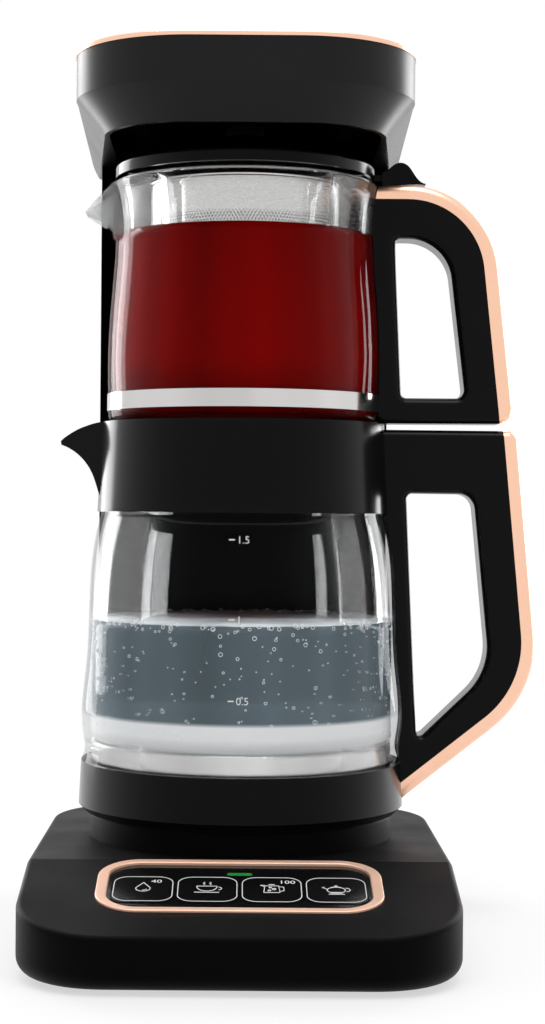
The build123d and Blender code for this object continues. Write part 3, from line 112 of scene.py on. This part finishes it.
def blended(nt, out, share, first, second):
    """Two shaders mixed by a share between 0 and 1, into the output."""
    mix = add(nt, "ShaderNodeMixShader")
    nt.links.new(share, mix.inputs["Fac"])
    nt.links.new(first.outputs[0], mix.inputs[1])
    nt.links.new(second.outputs[0], mix.inputs[2])
    nt.links.new(mix.outputs[0], out.inputs["Surface"])


# ---------------------------------------------------------------- materials
def plastic(name, colour, rough, grain_scale, bump=0.15, sheen=0.7, level=0.5):
    """Moulded plastic: fine grain in the bump, slow drift in the roughness and the colour."""
    material, nt, out = tree(name)
    settings = {"Specular Tint": (sheen, sheen, sheen, 1), "Specular IOR Level": level}
    shader = add(nt, "ShaderNodeBsdfPrincipled", settings)
    fine = grain(nt, grain_scale)
    slow = grain(nt, 26.0, 2.0)
    dark = tuple(c * 0.85 for c in colour)
    light = tuple(c * 1.15 for c in colour)
    nt.links.new(varied(nt, slow, dark, light), shader.inputs["Base Color"])
    nt.links.new(spread(nt, slow, rough * 0.88, rough * 1.12), shader.inputs["Roughness"])
    bumped(nt, shader, fine, bump, 0.0004)
    nt.links.new(shader.outputs[0], out.inputs["Surface"])
    return material


def metal(name, colour, rough, stretch=(1, 1, 1), scale=300.0, bump=0.1, share=1.0, drift=0.93):
    """Metal with brush marks that lie across the direction that the noise is stretched in.

    share is how much of it shines as metal, and drift how dark the darkest of its slow vertical bands are;
    near 1 they are random tone, and where drift is low, as on polished steel, they are painted dark
    reflections.
    """
    material, nt, out = tree(name)
    shader = add(nt, "ShaderNodeBsdfPrincipled", {"Metallic": share})
    lines = grain(nt, scale, 4.0, stretch)
    # Slow vertical bands that darken the colour: random tone where drift is near 1, painted dark reflections
    # where it is low.
    slow = grain(nt, 26.0, 2.0, (1, 1, 0.1))
    dark = tuple(c * drift for c in colour)
    light = tuple(min(c * 1.05, 1.0) for c in colour)
    nt.links.new(varied(nt, slow, dark, light), shader.inputs["Base Color"])
    nt.links.new(spread(nt, lines, rough * 0.75, rough * 1.25), shader.inputs["Roughness"])
    bumped(nt, shader, lines, bump, 0.0002)
    nt.links.new(shader.outputs[0], out.inputs["Surface"])
    return material


def clear(name, tint, rough=0.0, ior=1.47, diffuse=None, painted_light_zone=None, sheen=0.3, straight=0.0):
    """Glass or liquid: it refracts and lets lamp light through.

    diffuse is a body colour with the share of light that still goes through; vertical bands in it, from 0.45
    to 1.7 times it, are painted light and shade. painted_light_zone gives two heights: below the first the
    body is painted near-white and less clear, a painted glow of light from under the water, fading out up to
    the second.
    straight is the share of the view that passes without bending.
    """
    material, nt, out = tree(name)
    shader = add(
        nt,
        "ShaderNodeBsdfPrincipled",
        {
            "Transmission Weight": 1.0 if diffuse is None else diffuse[1],
            "IOR": ior,
            "Specular Tint": (sheen, sheen, sheen, 1),
        },
    )
    slow = grain(nt, 22.0, 2.0)
    if diffuse is None:
        shade = varied(nt, slow, tint, tuple(min(c * 1.02, 1.0) for c in tint))
    else:
        # Painted light and shade: vertical noise bands that lighten and darken the body colour.
        painted_light_streaks = grain(nt, 34.0, 2.0, (1, 1, 0.03))
        dark, light = (tuple(c * factor for c in diffuse[0]) for factor in (0.45, 1.7))
        shade = varied(nt, painted_light_streaks, dark, light)
    # Painted light: low in the body the colour goes near-white and less clear, fading out between the two
    # heights.
    if painted_light_zone:
        place = add(nt, "ShaderNodeTexCoord")
        axes = add(nt, "ShaderNodeSeparateXYZ")
        nt.links.new(place.outputs["Object"], axes.inputs[0])
        limits = {"From Min": painted_light_zone[0], "From Max": painted_light_zone[1]}
        share = add(nt, "ShaderNodeMapRange", {**limits, "To Min": 0.15, "To Max": diffuse[1]})
        rise = add(nt, "ShaderNodeMapRange", limits)
        painted_light_mix = add(nt, "ShaderNodeMix", data_type="RGBA")
        painted_light_mix.inputs["A"].default_value = (0.98, 0.99, 1.0, 1)
        nt.links.new(axes.outputs["Z"], share.inputs["Value"])
        nt.links.new(axes.outputs["Z"], rise.inputs["Value"])
        nt.links.new(rise.outputs["Result"], painted_light_mix.inputs["Factor"])
        nt.links.new(shade, painted_light_mix.inputs["B"])
        nt.links.new(share.outputs["Result"], shader.inputs["Transmission Weight"])
        shade = painted_light_mix.outputs["Result"]
    nt.links.new(shade, shader.inputs["Base Color"])
    nt.links.new(spread(nt, slow, rough, rough + 0.015), shader.inputs["Roughness"])
    bumped(nt, shader, slow, 0.04, 0.002)
    open_light = add(nt, "ShaderNodeBsdfTransparent", {"Color": (*tint, 1)})
    path = add(nt, "ShaderNodeLightPath")
    passing = maths(nt, "MAXIMUM", path.outputs["Is Shadow Ray"], straight)
    blended(nt, out, passing, shader, open_light)
    return material


HOLES_AROUND, HOLE_ROWS_PER_METRE, HOLE_RADIUS = 176, 700.0, 0.3


def perforated(name, top_z):
    """Steel sheet with rows of fine round holes below its plain top band; the holes are near-black spots of
    colour, the dark tea seen through them and painted shade of the basket's inside.
    """
    material, nt, out = tree(name)
    steel = add(nt, "ShaderNodeBsdfPrincipled", {"Metallic": 1.0, "Base Color": (0.62, 0.61, 0.60, 1)})
    lines = grain(nt, 260.0, 3.0, (1, 1, 12))
    nt.links.new(spread(nt, lines, 0.2, 0.34), steel.inputs["Roughness"])
    bumped(nt, steel, lines, 0.08, 0.0002)
    place = add(nt, "ShaderNodeTexCoord")
    axes = add(nt, "ShaderNodeSeparateXYZ")
    nt.links.new(place.outputs["Object"], axes.inputs[0])
    x, y, z = axes.outputs
    turn = maths(nt, "ARCTAN2", y, x)
    around = maths(nt, "MULTIPLY", turn, HOLES_AROUND / math.tau)
    up = maths(nt, "MULTIPLY", z, HOLE_ROWS_PER_METRE)
    odd = maths(nt, "MULTIPLY", maths(nt, "MODULO", maths(nt, "FLOOR", up), 2.0), 0.5)
    across = maths(nt, "SUBTRACT", maths(nt, "FRACT", maths(nt, "ADD", around, odd)), 0.5)
    along = maths(nt, "SUBTRACT", maths(nt, "FRACT", up), 0.5)
    squares = [maths(nt, "POWER", offset, 2.0) for offset in (across, along)]
    far = maths(nt, "SQRT", maths(nt, "ADD", *squares))
    hole = maths(nt, "LESS_THAN", far, HOLE_RADIUS)
    below = maths(nt, "LESS_THAN", z, top_z)
    # Painted shade: the holes are a near-black colour, not openings.
    painted_hole_shade = add(nt, "ShaderNodeBsdfPrincipled", {"Base Color": (0.012, 0.006, 0.005, 1), "Roughness": 0.6})
    blended(nt, out, maths(nt, "MULTIPLY", hole, below), steel, painted_hole_shade)
    return material


def lamp_lens(name, colour, strength):
    """A small lit window."""
    material, nt, out = tree(name)
    shader = add(
        nt,
        "ShaderNodeBsdfPrincipled",
        {"Base Color": (*colour, 1), "Emission Color": (*colour, 1), "Emission Strength": strength},
    )
    nt.links.new(spread(nt, grain(nt, 400.0), 0.15, 0.3), shader.inputs["Roughness"])
    nt.links.new(shader.outputs[0], out.inputs["Surface"])
    return material


black_satin = plastic("satin_black_plastic", (0.0035, 0.0035, 0.004), 0.45, 2600.0, 0.2, 0.2, 0.25)
black_shell = plastic("shell_black_plastic", (0.004, 0.004, 0.0045), 0.55, 2200.0, 0.2, 0.25, 0.2)
head_black = plastic("head_black_plastic", (0.004, 0.004, 0.0045), 0.3, 2200.0, 0.05, 0.35, 0.5)
black_deck = plastic("deck_black_plastic", (0.003, 0.003, 0.0034), 0.5, 2200.0, 0.15, 0.05, 0.1)
black_gloss = plastic("gloss_black_plastic", (0.0028, 0.0028, 0.003), 0.18, 900.0, 0.03, 0.13)
handle_black = plastic("handle_black_plastic", (0.0035, 0.0035, 0.004), 0.22, 2000.0, 0.05, 0.13)
panel_black = plastic("panel_black_glass", (0.004, 0.004, 0.0045), 0.12, 500.0, 0.02, 0.4)
inner_grey = plastic("inner_grey_plastic", (0.16, 0.16, 0.165), 0.5, 1500.0, 0.2)
rubber_black = plastic("black_rubber", (0.014, 0.014, 0.014), 0.75, 3200.0, 0.4, 0.3)
rubber_grey = plastic("grey_silicone", (0.30, 0.30, 0.30), 0.55, 1800.0, 0.2)
board_green = plastic("board_green_mask", (0.02, 0.11, 0.05), 0.4, 700.0, 0.1)
rose_frame = metal("rose_gold_frame", (1.0, 0.62, 0.46), 0.4, (1, 1, 1), 60.0, 0.01, 0.45)
rose_gold = metal("rose_gold_plating", (1.0, 0.60, 0.43), 0.26, (1, 1, 1), 60.0, 0.01)
brushed_steel = metal("brushed_steel", (0.60, 0.59, 0.58), 0.28, (1, 1, 14), 240.0, 0.12)
# Painted reflection: drift 0.5 paints dark vertical bands into the polished steel's colour.
polished_steel = metal("polished_steel", (0.76, 0.75, 0.74), 0.12, (1, 1, 10), 260.0, 0.04, 1.0, 0.5)
contact_brass = metal("contact_brass", (0.80, 0.60, 0.28), 0.22)
GLASS_TINT = (0.985, 0.99, 0.992)
kettle_clear = clear("kettle_clear_glass", GLASS_TINT, sheen=0.07, straight=0.7)
pot_clear = clear("teapot_clear_glass", GLASS_TINT, sheen=0.04, straight=0.65)
WATER_IOR = 1.33
TEA_BODY, WATER_BODY = ((0.26, 0.001, 0.0008), 0.5), ((0.24, 0.31, 0.35), 0.6)
# Heights of the painted glow of light at the foot of the water.
WATER_PAINTED_LIGHT = (0.0958, 0.0976)
tea_red = clear("brewed_tea", (0.6, 0.015, 0.01), 0.02, WATER_IOR, TEA_BODY, None, 0.05)
water_blue = clear("kettle_water", (0.86, 0.91, 0.94), 0.01, WATER_IOR, WATER_BODY, WATER_PAINTED_LIGHT, 0.1)
foam_white = clear("water_foam", (0.95, 0.97, 0.98), 0.1, 1.1, ((0.82, 0.85, 0.87), 0.25))
# Painted highlight: the bubbles' bright rims are an opaque near-white colour.
painted_bubble_glint = plastic("painted_bubble_glint", (0.88, 0.91, 0.93), 0.3, 900.0, 0.02)
lens_green = lamp_lens("indicator_green", (0.015, 0.22, 0.035), 0.2)
print_white = plastic("white_print", (0.80, 0.80, 0.80), 0.5, 900.0, 0.05)

finish = {
    "base_housing": black_deck, "base_bottom_plate": inner_grey, "base_feet": rubber_black,
    "bottom_screws": polished_steel, "seat_plate": black_deck, "connector_post": black_satin,
    "connector_contacts": contact_brass, "water_inlet": inner_grey, "inlet_gasket": rubber_grey,
    "panel_bezel": rose_frame, "panel_fascia": panel_black, "indicator_lens": lens_green,
    "panel_board": board_green, "tact_switches": inner_grey, "power_board": board_green,
    "water_pump": inner_grey, "pump_hoses": rubber_grey, "cord_gland": rubber_black,
    "column_front_cover": black_satin, "column_rear_cover": black_shell, "column_screws": polished_steel,
    "riser_tube": rubber_grey, "head_housing": head_black, "head_top_cover": black_shell,
    "head_trim": rose_gold, "head_underside_plate": black_satin, "shower_nozzle": black_satin,
    "underside_screws": black_satin, "warm_water_key": panel_black, "coffee_key": panel_black,
    "boil_key": panel_black, "tea_key": panel_black, "kettle_glass": kettle_clear,
    "kettle_collar": black_gloss, "kettle_rim_ring": black_gloss, "kettle_seals": rubber_grey,
    "kettle_base_ring": black_gloss, "kettle_bottom_cover": black_satin, "heating_plate": polished_steel,
    "heating_element": polished_steel, "thermostat": inner_grey, "connector_socket": black_satin,
    "valve_body": brushed_steel, "valve_spring": polished_steel, "valve_plunger": polished_steel,
    "kettle_handle": handle_black, "kettle_handle_trim": rose_gold, "kettle_handle_screws": polished_steel,
    "teapot_glass": pot_clear, "teapot_band": polished_steel, "teapot_handle": handle_black,
    "teapot_handle_trim": rose_gold, "teapot_handle_screw": polished_steel, "hinge_bracket": handle_black,
    "lid_hinge_pin": handle_black, "infuser_basket": brushed_steel, "lid_disc": black_gloss,
    "lid_grommet": rubber_black, "lid_thumb_lever": black_gloss,
}
for node_name, material in finish.items():
    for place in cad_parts[node_name].material_slots:
        place.material = material


# ---------------------------------------------------------------- mesh helpers
def put(name, data, body, material):
    """Links a mesh or a curve as a piece of a body, in a material."""
    piece = bpy.data.objects.new(name, data)
    bpy.context.scene.collection.objects.link(piece)
    data.materials.append(material)
    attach(piece, body)
    return piece


def meshed(bm, name):
    """A closed bmesh as a mesh, with its faces turned outwards."""
    bmesh.ops.recalc_face_normals(bm, faces=bm.faces)
    mesh = bpy.data.meshes.new(name)
    bm.to_mesh(mesh)
    bm.free()
    return mesh


def tube(name, wire_r, resolution):
    """An empty round-wire curve."""
    curve = bpy.data.curves.new(name, "CURVE")
    curve.dimensions = "3D"
    curve.bevel_depth = wire_r
    curve.bevel_resolution = resolution
    return curve


def lathe(name, profile, steps=128):
    """A closed form turned about the pot axis from (radius, height) points, axis to axis."""
    bm = bmesh.new()
    turn = [math.tau * k / steps for k in range(steps)]
    hoops = []
    for radius, z in profile:
        if radius == 0:
            hoops.append([bm.verts.new((0, 0, z))] * steps)
        else:
            hoops.append([bm.verts.new((radius * math.cos(a), radius * math.sin(a), z)) for a in turn])
    for low, high in zip(hoops, hoops[1:]):
        for k in range(steps):
            near, far = k, (k + 1) % steps
            corners = [low[near], low[far], high[far], high[near]]
            bm.faces.new(list(dict.fromkeys(corners))).smooth = True
    return meshed(bm, name)


def through(points, z):
    """The radius at a height, on the curve through three (radius, height) points."""
    total = 0.0
    for i, (r_i, z_i) in enumerate(points):
        share = r_i
        for j, (_, z_j) in enumerate(points):
            if i != j:
                share *= (z - z_j) / (z_i - z_j)
        total += share
    return total


def between(points, z):
    """The radius at a height, on straight lines between (radius, height) points."""
    for (r_low, z_low), (r_high, z_high) in zip(points, points[1:]):
        if z <= z_high:
            return r_low + (r_high - r_low) * (z - z_low) / (z_high - z_low)
    return points[-1][0]


def rings(name, places, body, material, steps=12, sides=4):
    """Bubble outlines in the kettle's wall, each a fine ring, in one mesh; their near-white colour is a
    painted glint of light on the bubbles' edges.
    """
    bm = bmesh.new()
    for angle, height, radius in places:
        depth = between(KETTLE_IN, height) + BUBBLE_DEPTH
        out = Vector((math.cos(angle), math.sin(angle), 0))
        across, centre = Vector((-out.y, out.x, 0)), out * depth + Vector((0, 0, height))
        wire = 0.00009 + radius * 0.07
        loops = []
        for k in range(steps):
            a = math.tau * k / steps
            lead = across * math.cos(a) + Vector((0, 0, math.sin(a)))
            loop = []
            for m in range(sides):
                b = math.tau * m / sides
                spot = centre + lead * (radius + wire * math.cos(b)) + out * wire * math.sin(b)
                loop.append(bm.verts.new(spot))
            loops.append(loop)
        for k in range(steps):
            near, far = loops[k], loops[(k + 1) % steps]
            for m in range(sides):
                n = (m + 1) % sides
                bm.faces.new((near[m], far[m], far[n], near[n])).smooth = True
    return put(name, meshed(bm, name), body, material)


# ---------------------------------------------------------------- water and tea
# Radius and height pairs on the walls of the two glasses, from low to high.
KETTLE_IN = (
    (0.0695, 0.0840), (0.0692, 0.0917), (0.0690, 0.0993),
    (0.0690, 0.1313), (0.0688, 0.1386), (0.0686, 0.1441),
)
KETTLE_OUT = ((0.0733, 0.087), (0.072, 0.118), (0.0681, 0.177))
POT_IN = (
    (0.0600, 0.2406), (0.0604, 0.250), (0.0607, 0.2575), (0.0606, 0.2635),
    (0.0604, 0.2682), (0.0600, 0.2755), (0.0594, 0.2833), (0.0586, 0.2918),
    (0.0579, 0.3003), (0.0575, 0.3068), (0.0573, 0.3125), (0.0572, 0.3172),
)
OVERLAP = 0.0004
EDGE_DROP = 0.0007

# The liquids reach a little into the glass, so that no film of air shows round them.
WATER_LOW, WATER_TOP = 0.0842, 0.1395
WATER_FOOT_R, WATER_FOOT_H, WATER_DIP = 0.0675, 0.002, 0.001
WATER_STEPS = 12
side_low = WATER_LOW + WATER_FOOT_H
side = [side_low + k * (WATER_TOP - WATER_LOW - WATER_FOOT_H) / WATER_STEPS for k in range(WATER_STEPS + 1)]
outline = [(0, WATER_LOW), (WATER_FOOT_R, WATER_LOW)]
outline += [(between(KETTLE_IN, z) + OVERLAP, z) for z in side]
outline += [(outline[-1][0] - 0.0012, WATER_TOP - EDGE_DROP), (outline[-1][0] - 0.004, WATER_TOP - WATER_DIP)]
outline += [(0, WATER_TOP - WATER_DIP)]
put("kettle_water", lathe("kettle_water", outline), "kettle", water_blue)

TEA_LOW, TEA_TOP, TEA_DIP = 0.2327, 0.3172, 0.0009
outline = [(0, TEA_LOW), (0.058, TEA_LOW), (0.0594, 0.2341), (0.0602, 0.2356)]
outline += [(r + OVERLAP, z) for r, z in POT_IN[:-1]]
outline += [(POT_IN[-1][0] + OVERLAP - 0.0002, TEA_TOP - EDGE_DROP), (0, TEA_TOP - TEA_DIP)]
put("teapot_tea", lathe("teapot_tea", outline), "teapot", tea_red)

FOAM_UNDER, FOAM_OVER, FOAM_EDGE_GAP = 0.0008, 0.0006, 0.0006
RIPPLE_UNDER, RIPPLE_OVER = 0.0006, 0.0002
foam_low, foam_high = WATER_TOP - FOAM_UNDER, WATER_TOP + FOAM_OVER
foam_r = between(KETTLE_IN, WATER_TOP) - FOAM_EDGE_GAP
foam = lathe("water_foam", [(0, foam_low), (foam_r, foam_low), (foam_r, foam_high), (0, foam_high)])
for vert in foam.vertices:
    angle = math.atan2(vert.co.y, vert.co.x)
    ripple = math.sin(angle * 23) * math.sin(angle * 9 + 1) + 0.6 * math.sin(angle * 41 + 2)
    if vert.co.xy.length > 0.01:
        vert.co.z += RIPPLE_UNDER * ripple if vert.co.z < WATER_TOP else RIPPLE_OVER * ripple
put("water_foam", foam, "kettle", foam_white)

BUBBLES, SURFACE_BUBBLES, BUBBLE_REACH, BUBBLE_DEPTH = 560, 110, 0.049, 0.0009
places = []
for _ in range(BUBBLES):
    angle = random.uniform(0, math.tau)
    z = WATER_TOP - 0.001 - random.random() ** 1.2 * BUBBLE_REACH
    radius = 0.0002 + 0.0007 * random.random() ** 3
    places.append((angle, z, radius))
for _ in range(SURFACE_BUBBLES):
    angle = random.uniform(0, math.tau)
    z = WATER_TOP + random.uniform(-0.0012, 0.0006)
    places.append((angle, z, random.uniform(0.0005, 0.001)))
rings("water_bubbles", places, "kettle", painted_bubble_glint)

# ---------------------------------------------------------------- infuser sheet
PLAIN_FROM = 0.3235
BASKET_R, BASKET_LOW, BASKET_TOP = 0.0435, 0.2500, 0.3397
BASKET_FOOT_H, BASKET_STEPS = 0.004, 8
wall_low = BASKET_LOW + BASKET_FOOT_H
wall_h = BASKET_TOP - BASKET_LOW - BASKET_FOOT_H
outline = [(0, BASKET_LOW), (0.0395, BASKET_LOW), (0.0425, BASKET_LOW + 0.0012)]
outline += [(BASKET_R, wall_low + k * wall_h / BASKET_STEPS) for k in range(BASKET_STEPS + 1)]
cup_mesh = lathe("infuser_cup", outline)
cup = put("infuser_cup", cup_mesh, "teapot", perforated("perforated_steel", PLAIN_FROM))
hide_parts("infuser_basket")


def torus(name, ring_r, wire_r, z, material, steps=128, sides=12):
    """A level ring of round wire about the pot axis."""
    bm = bmesh.new()
    grid = []
    for k in range(steps):
        a = math.tau * k / steps
        loop = []
        for m in range(sides):
            b = math.tau * m / sides
            r = ring_r + wire_r * math.cos(b)
            loop.append(bm.verts.new((r * math.cos(a), r * math.sin(a), z + wire_r * math.sin(b))))
        grid.append(loop)
    for k in range(steps):
        for m in range(sides):
            corners = [grid[k][m], grid[(k + 1) % steps][m]]
            corners += [grid[(k + 1) % steps][(m + 1) % sides], grid[k][(m + 1) % sides]]
            bm.faces.new(corners).smooth = True
    return put(name, meshed(bm, name), "teapot", material)


RIM_WIRE_R, ARM_WIRE_R = 0.0011, 0.0007
ARM_REACH, ARM_TOP = 0.0607, 0.3412
torus("infuser_rim", BASKET_R, RIM_WIRE_R, BASKET_TOP, polished_steel)
arms = tube("infuser_arms", ARM_WIRE_R, 4)
for degrees in (-30, 90, 210):
    a = math.radians(degrees)
    line = arms.splines.new("POLY")
    line.points.add(1)
    line.points[0].co = (BASKET_R * math.cos(a), BASKET_R * math.sin(a), BASKET_TOP, 1)
    line.points[1].co = (ARM_REACH * math.cos(a), ARM_REACH * math.sin(a), ARM_TOP, 1)
put("infuser_arms", arms, "teapot", polished_steel)


# ---------------------------------------------------------------- level marks on the kettle
def words(name, text, size):
    """Plain digits as a flat mesh with its origin at the lower left."""
    letters = bpy.data.curves.new(name, "FONT")
    letters.body = text
    letters.size = size
    holder = bpy.data.objects.new(name, letters)
    bpy.context.scene.collection.objects.link(holder)
    graph = bpy.context.evaluated_depsgraph_get()
    mesh = bpy.data.meshes.new_from_object(holder.evaluated_get(graph))
    bpy.data.objects.remove(holder)
    return mesh


NUMBER_SIZE = 0.0046
DASH = ((-0.0035, 0.0013), (-0.0009, 0.0013), (-0.0009, 0.0019), (-0.0035, 0.0019))
MARK_LEFT, MARK_DROP, PRINT_LIFT = 0.0023, 0.0016, 0.00008


def level_mark(name, text, z):
    """A dash and its number, printed on the round of the glass."""
    mesh = words(name, text, NUMBER_SIZE)
    bm = bmesh.new()
    bm.from_mesh(mesh)
    bm.faces.new([bm.verts.new((x, y, 0)) for x, y in DASH])
    for vert in bm.verts:
        u, v = vert.co.x - MARK_LEFT, z + vert.co.y - MARK_DROP
        r = through(KETTLE_OUT, v) + PRINT_LIFT
        vert.co = (r * math.sin(u / r), -r * math.cos(u / r), v)
    bm.to_mesh(mesh)
    bm.free()
    return put(name, mesh, "kettle", print_white)


level_mark("level_mark_high", "1.5", 0.1771)
level_mark("level_mark_middle", "1", 0.1426)
level_mark("level_mark_low", "0.5", 0.1077)

# ---------------------------------------------------------------- key outlines and icons
TILT = math.radians(12.0)
PANEL = Vector((0, -0.10422, 0.034002))
UP_SLOPE = Vector((0, math.cos(TILT), math.sin(TILT)))
NORMAL = Vector((0, -math.sin(TILT), math.cos(TILT)))


def on_panel(u, v, lift):
    """A point of the sloping panel from millimetres across, up the slope and above it."""
    return PANEL + Vector((u, 0, 0)) / 1000 + UP_SLOPE * (v / 1000) + NORMAL * (lift / 1000)


def arc(cx, cy, rx, ry, start, end, steps=14):
    """Points along an ellipse between two angles in degrees."""
    span = [math.radians(start + (end - start) * k / steps) for k in range(steps + 1)]
    return [(cx + rx * math.cos(a), cy + ry * math.sin(a)) for a in span]


def rounded(half_w, half_l, r):
    """The outline of a rectangle with round corners, closed."""
    line = []
    for sx, sy, start in ((1, 1, 0), (-1, 1, 90), (-1, -1, 180), (1, -1, 270)):
        line += arc(sx * (half_w - r), sy * (half_l - r), r, r, start, start + 90, 8)
    return line + line[:1]


DROP = [(0, 4.2)] + arc(0, -0.6, 2.3, 2.3, 25, -205, 20) + [(0, 4.2)]
CUP = [(-3.4, 1.6), (3.0, 1.6)] + arc(-0.2, 1.2, 3.2, 3.6, 0, -180, 14) + [(-3.4, 1.6)]
ICONS = {
    "warm_water": [DROP, arc(0, -0.8, 1.2, 1.2, -100, -20, 6)],
    "coffee": [
        CUP, arc(3.2, -0.2, 1.3, 1.2, 75, -75, 8), [(-4.2, -3.4), (3.8, -3.4)],
        [(-1.3, 2.6), (-0.8, 3.3), (-1.4, 4.0), (-0.9, 4.8)],
        [(0.7, 2.6), (1.2, 3.3), (0.6, 4.0), (1.1, 4.8)],
    ],
    "boil": [
        [(-2.6, -3.2), (2.6, -3.2), (2.2, 2.2), (-2.2, 2.2), (-2.6, -3.2)],
        [(-2.2, 1.4), (-3.6, 2.6), (-2.2, 2.6)],
        [(2.3, 1.6), (3.8, 1.2), (3.9, -1.8), (2.5, -2.2)], arc(-0.8, -1.6, 0.45, 0.45, 0, 360, 8),
        arc(0.7, -0.4, 0.6, 0.6, 0, 360, 8), arc(-0.5, 0.9, 0.4, 0.4, 0, 360, 8), [(-1.0, 3.2), (1.0, 3.2)],
    ],
    "tea": [
        arc(0, -0.9, 2.9, 2.4, -50, 230, 20) + [(1.9, -2.7)], [(-2.8, -0.3), (-4.4, 1.2), (-3.6, 1.5)],
        arc(3.2, -0.7, 1.2, 1.4, 100, -90, 10), [(-1.5, 1.5), (1.5, 1.5)], arc(0, 2.2, 0.45, 0.45, 0, 360, 8),
        [(-2.6, -4.2), (2.6, -4.2)], [(-1.9, -3.4), (1.9, -3.4)],
    ],
}
NUMBERS = {"warm_water": "40", "boil": "100"}
KEY_PITCH, KEY_MIDDLE = 26.6, -2.9
KEY_OUTLINE = rounded(12.2, 12.7, 6.2)
ICON_SIZE, ICON_RISE = 1.3, 1.0
OUTLINE_LIFT, ICON_LIFT, NUMBER_LIFT = -0.06, -0.03, 0.05
NUMBER_RIGHT, NUMBER_UP = 3.0, 6.4
LINE_R = 0.00021


def draw(curve, stroke, centre, size, rise, lift):
    """Adds a stroke of a key's print to a curve, on the panel."""
    line = curve.splines.new("POLY")
    line.points.add(len(stroke) - 1)
    for point, (u, v) in zip(line.points, stroke):
        point.co = (*on_panel(centre + u * size, KEY_MIDDLE + rise + v * size, lift), 1)


for index, (key, icon) in enumerate(ICONS.items()):
    centre = (index - 1.5) * KEY_PITCH
    lines = tube(key + "_print", LINE_R, 2)
    draw(lines, KEY_OUTLINE, centre, 1.0, 0.0, OUTLINE_LIFT)
    for stroke in icon:
        draw(lines, stroke, centre, ICON_SIZE, ICON_RISE, ICON_LIFT)
    put(key + "_print", lines, key + "_key_body", print_white)
    if key in NUMBERS:
        mesh = words(key + "_number", NUMBERS[key], NUMBER_SIZE)
        for vert in mesh.vertices:
            u, v = vert.co.x * 1000, vert.co.y * 1000
            vert.co = on_panel(centre + NUMBER_RIGHT + u, KEY_MIDDLE + NUMBER_UP + v, NUMBER_LIFT)
        put(key + "_number", mesh, key + "_key_body", print_white)


# ---------------------------------------------------------------- camera, floor and light
camera_data = bpy.data.cameras.new("camera")
camera_data.lens = 71.8
camera_data.sensor_width = 36.0
camera_data.shift_x = 0.0292
camera_data.shift_y = -0.002
camera_data.clip_start = 0.02
camera = bpy.data.objects.new("camera", camera_data)
camera.location = (0, -0.95, 0.19)
camera.rotation_euler = (math.radians(90), math.radians(-0.45), 0)
bpy.context.scene.collection.objects.link(camera)
bpy.context.scene.camera = camera


def white_for_rays(nt):
    """1 for the rays that show the background: camera, glossy and transmission rays."""
    path = add(nt, "ShaderNodeLightPath")
    seen = maths(nt, "MAXIMUM", path.outputs["Is Camera Ray"], path.outputs["Is Glossy Ray"])
    return maths(nt, "MAXIMUM", seen, path.outputs["Is Transmission Ray"])


floor_mesh = bpy.data.meshes.new("floor")
FLOOR_REACH, FLOOR_Z = 6, -0.0002
corners = [(FLOOR_REACH * x, FLOOR_REACH * y, FLOOR_Z) for x, y in ((-1, -1), (1, -1), (1, 1), (-1, 1))]
floor_mesh.from_pydata(corners, [], [(0, 1, 2, 3)])
floor = bpy.data.objects.new("floor", floor_mesh)
bpy.context.scene.collection.objects.link(floor)
floor_white, nt, out = tree("floor_white")
paint = add(nt, "ShaderNodeBsdfPrincipled", {"Base Color": (0.86, 0.86, 0.86, 1), "Roughness": 0.6})
glow = add(nt, "ShaderNodeEmission", {"Color": WHITE, "Strength": 1.0})
place = add(nt, "ShaderNodeTexCoord")
length = add(nt, "ShaderNodeVectorMath", operation="LENGTH")
nt.links.new(place.outputs["Object"], length.inputs[0])
far = add(nt, "ShaderNodeMapRange", {"From Min": 0.25, "From Max": 0.75, "To Min": 0.6, "To Max": 1.0})
nt.links.new(length.outputs["Value"], far.inputs["Value"])
blended(nt, out, maths(nt, "MULTIPLY", white_for_rays(nt), far.outputs["Result"]), paint, glow)
floor_mesh.materials.append(floor_white)

world = bpy.data.worlds.new("studio")
world.use_nodes = True
bpy.context.scene.world = world
nt = world.node_tree
nt.nodes.clear()
out = nt.nodes.new("ShaderNodeOutputWorld")
soft = add(nt, "ShaderNodeBackground", {"Color": WHITE, "Strength": 0.7})
bright = add(nt, "ShaderNodeBackground", {"Color": WHITE, "Strength": 1.0})
blended(nt, out, white_for_rays(nt), soft, bright)


def soft_box(name, place, aim, width, height, power):
    """A rectangular area lamp at a place, turned to a point."""
    lamp_data = bpy.data.lights.new(name, "AREA")
    lamp_data.shape = "RECTANGLE"
    lamp_data.size, lamp_data.size_y = width, height
    lamp_data.energy = power
    lamp = bpy.data.objects.new(name, lamp_data)
    lamp.location = place
    lamp.rotation_euler = (Vector(aim) - Vector(place)).to_track_quat("-Z", "Y").to_euler()
    bpy.context.scene.collection.objects.link(lamp)


soft_box("lamp_left", (-0.80, 0.80, 0.4), (0, 0, 0.2), 0.5, 1.2, 9.0)
soft_box("lamp_right", (0.80, 0.80, 0.4), (0, 0, 0.2), 0.5, 1.2, 8.0)
soft_box("lamp_top", (0, -0.3, 1.3), (0, 0, 0.1), 0.9, 0.7, 8.0)
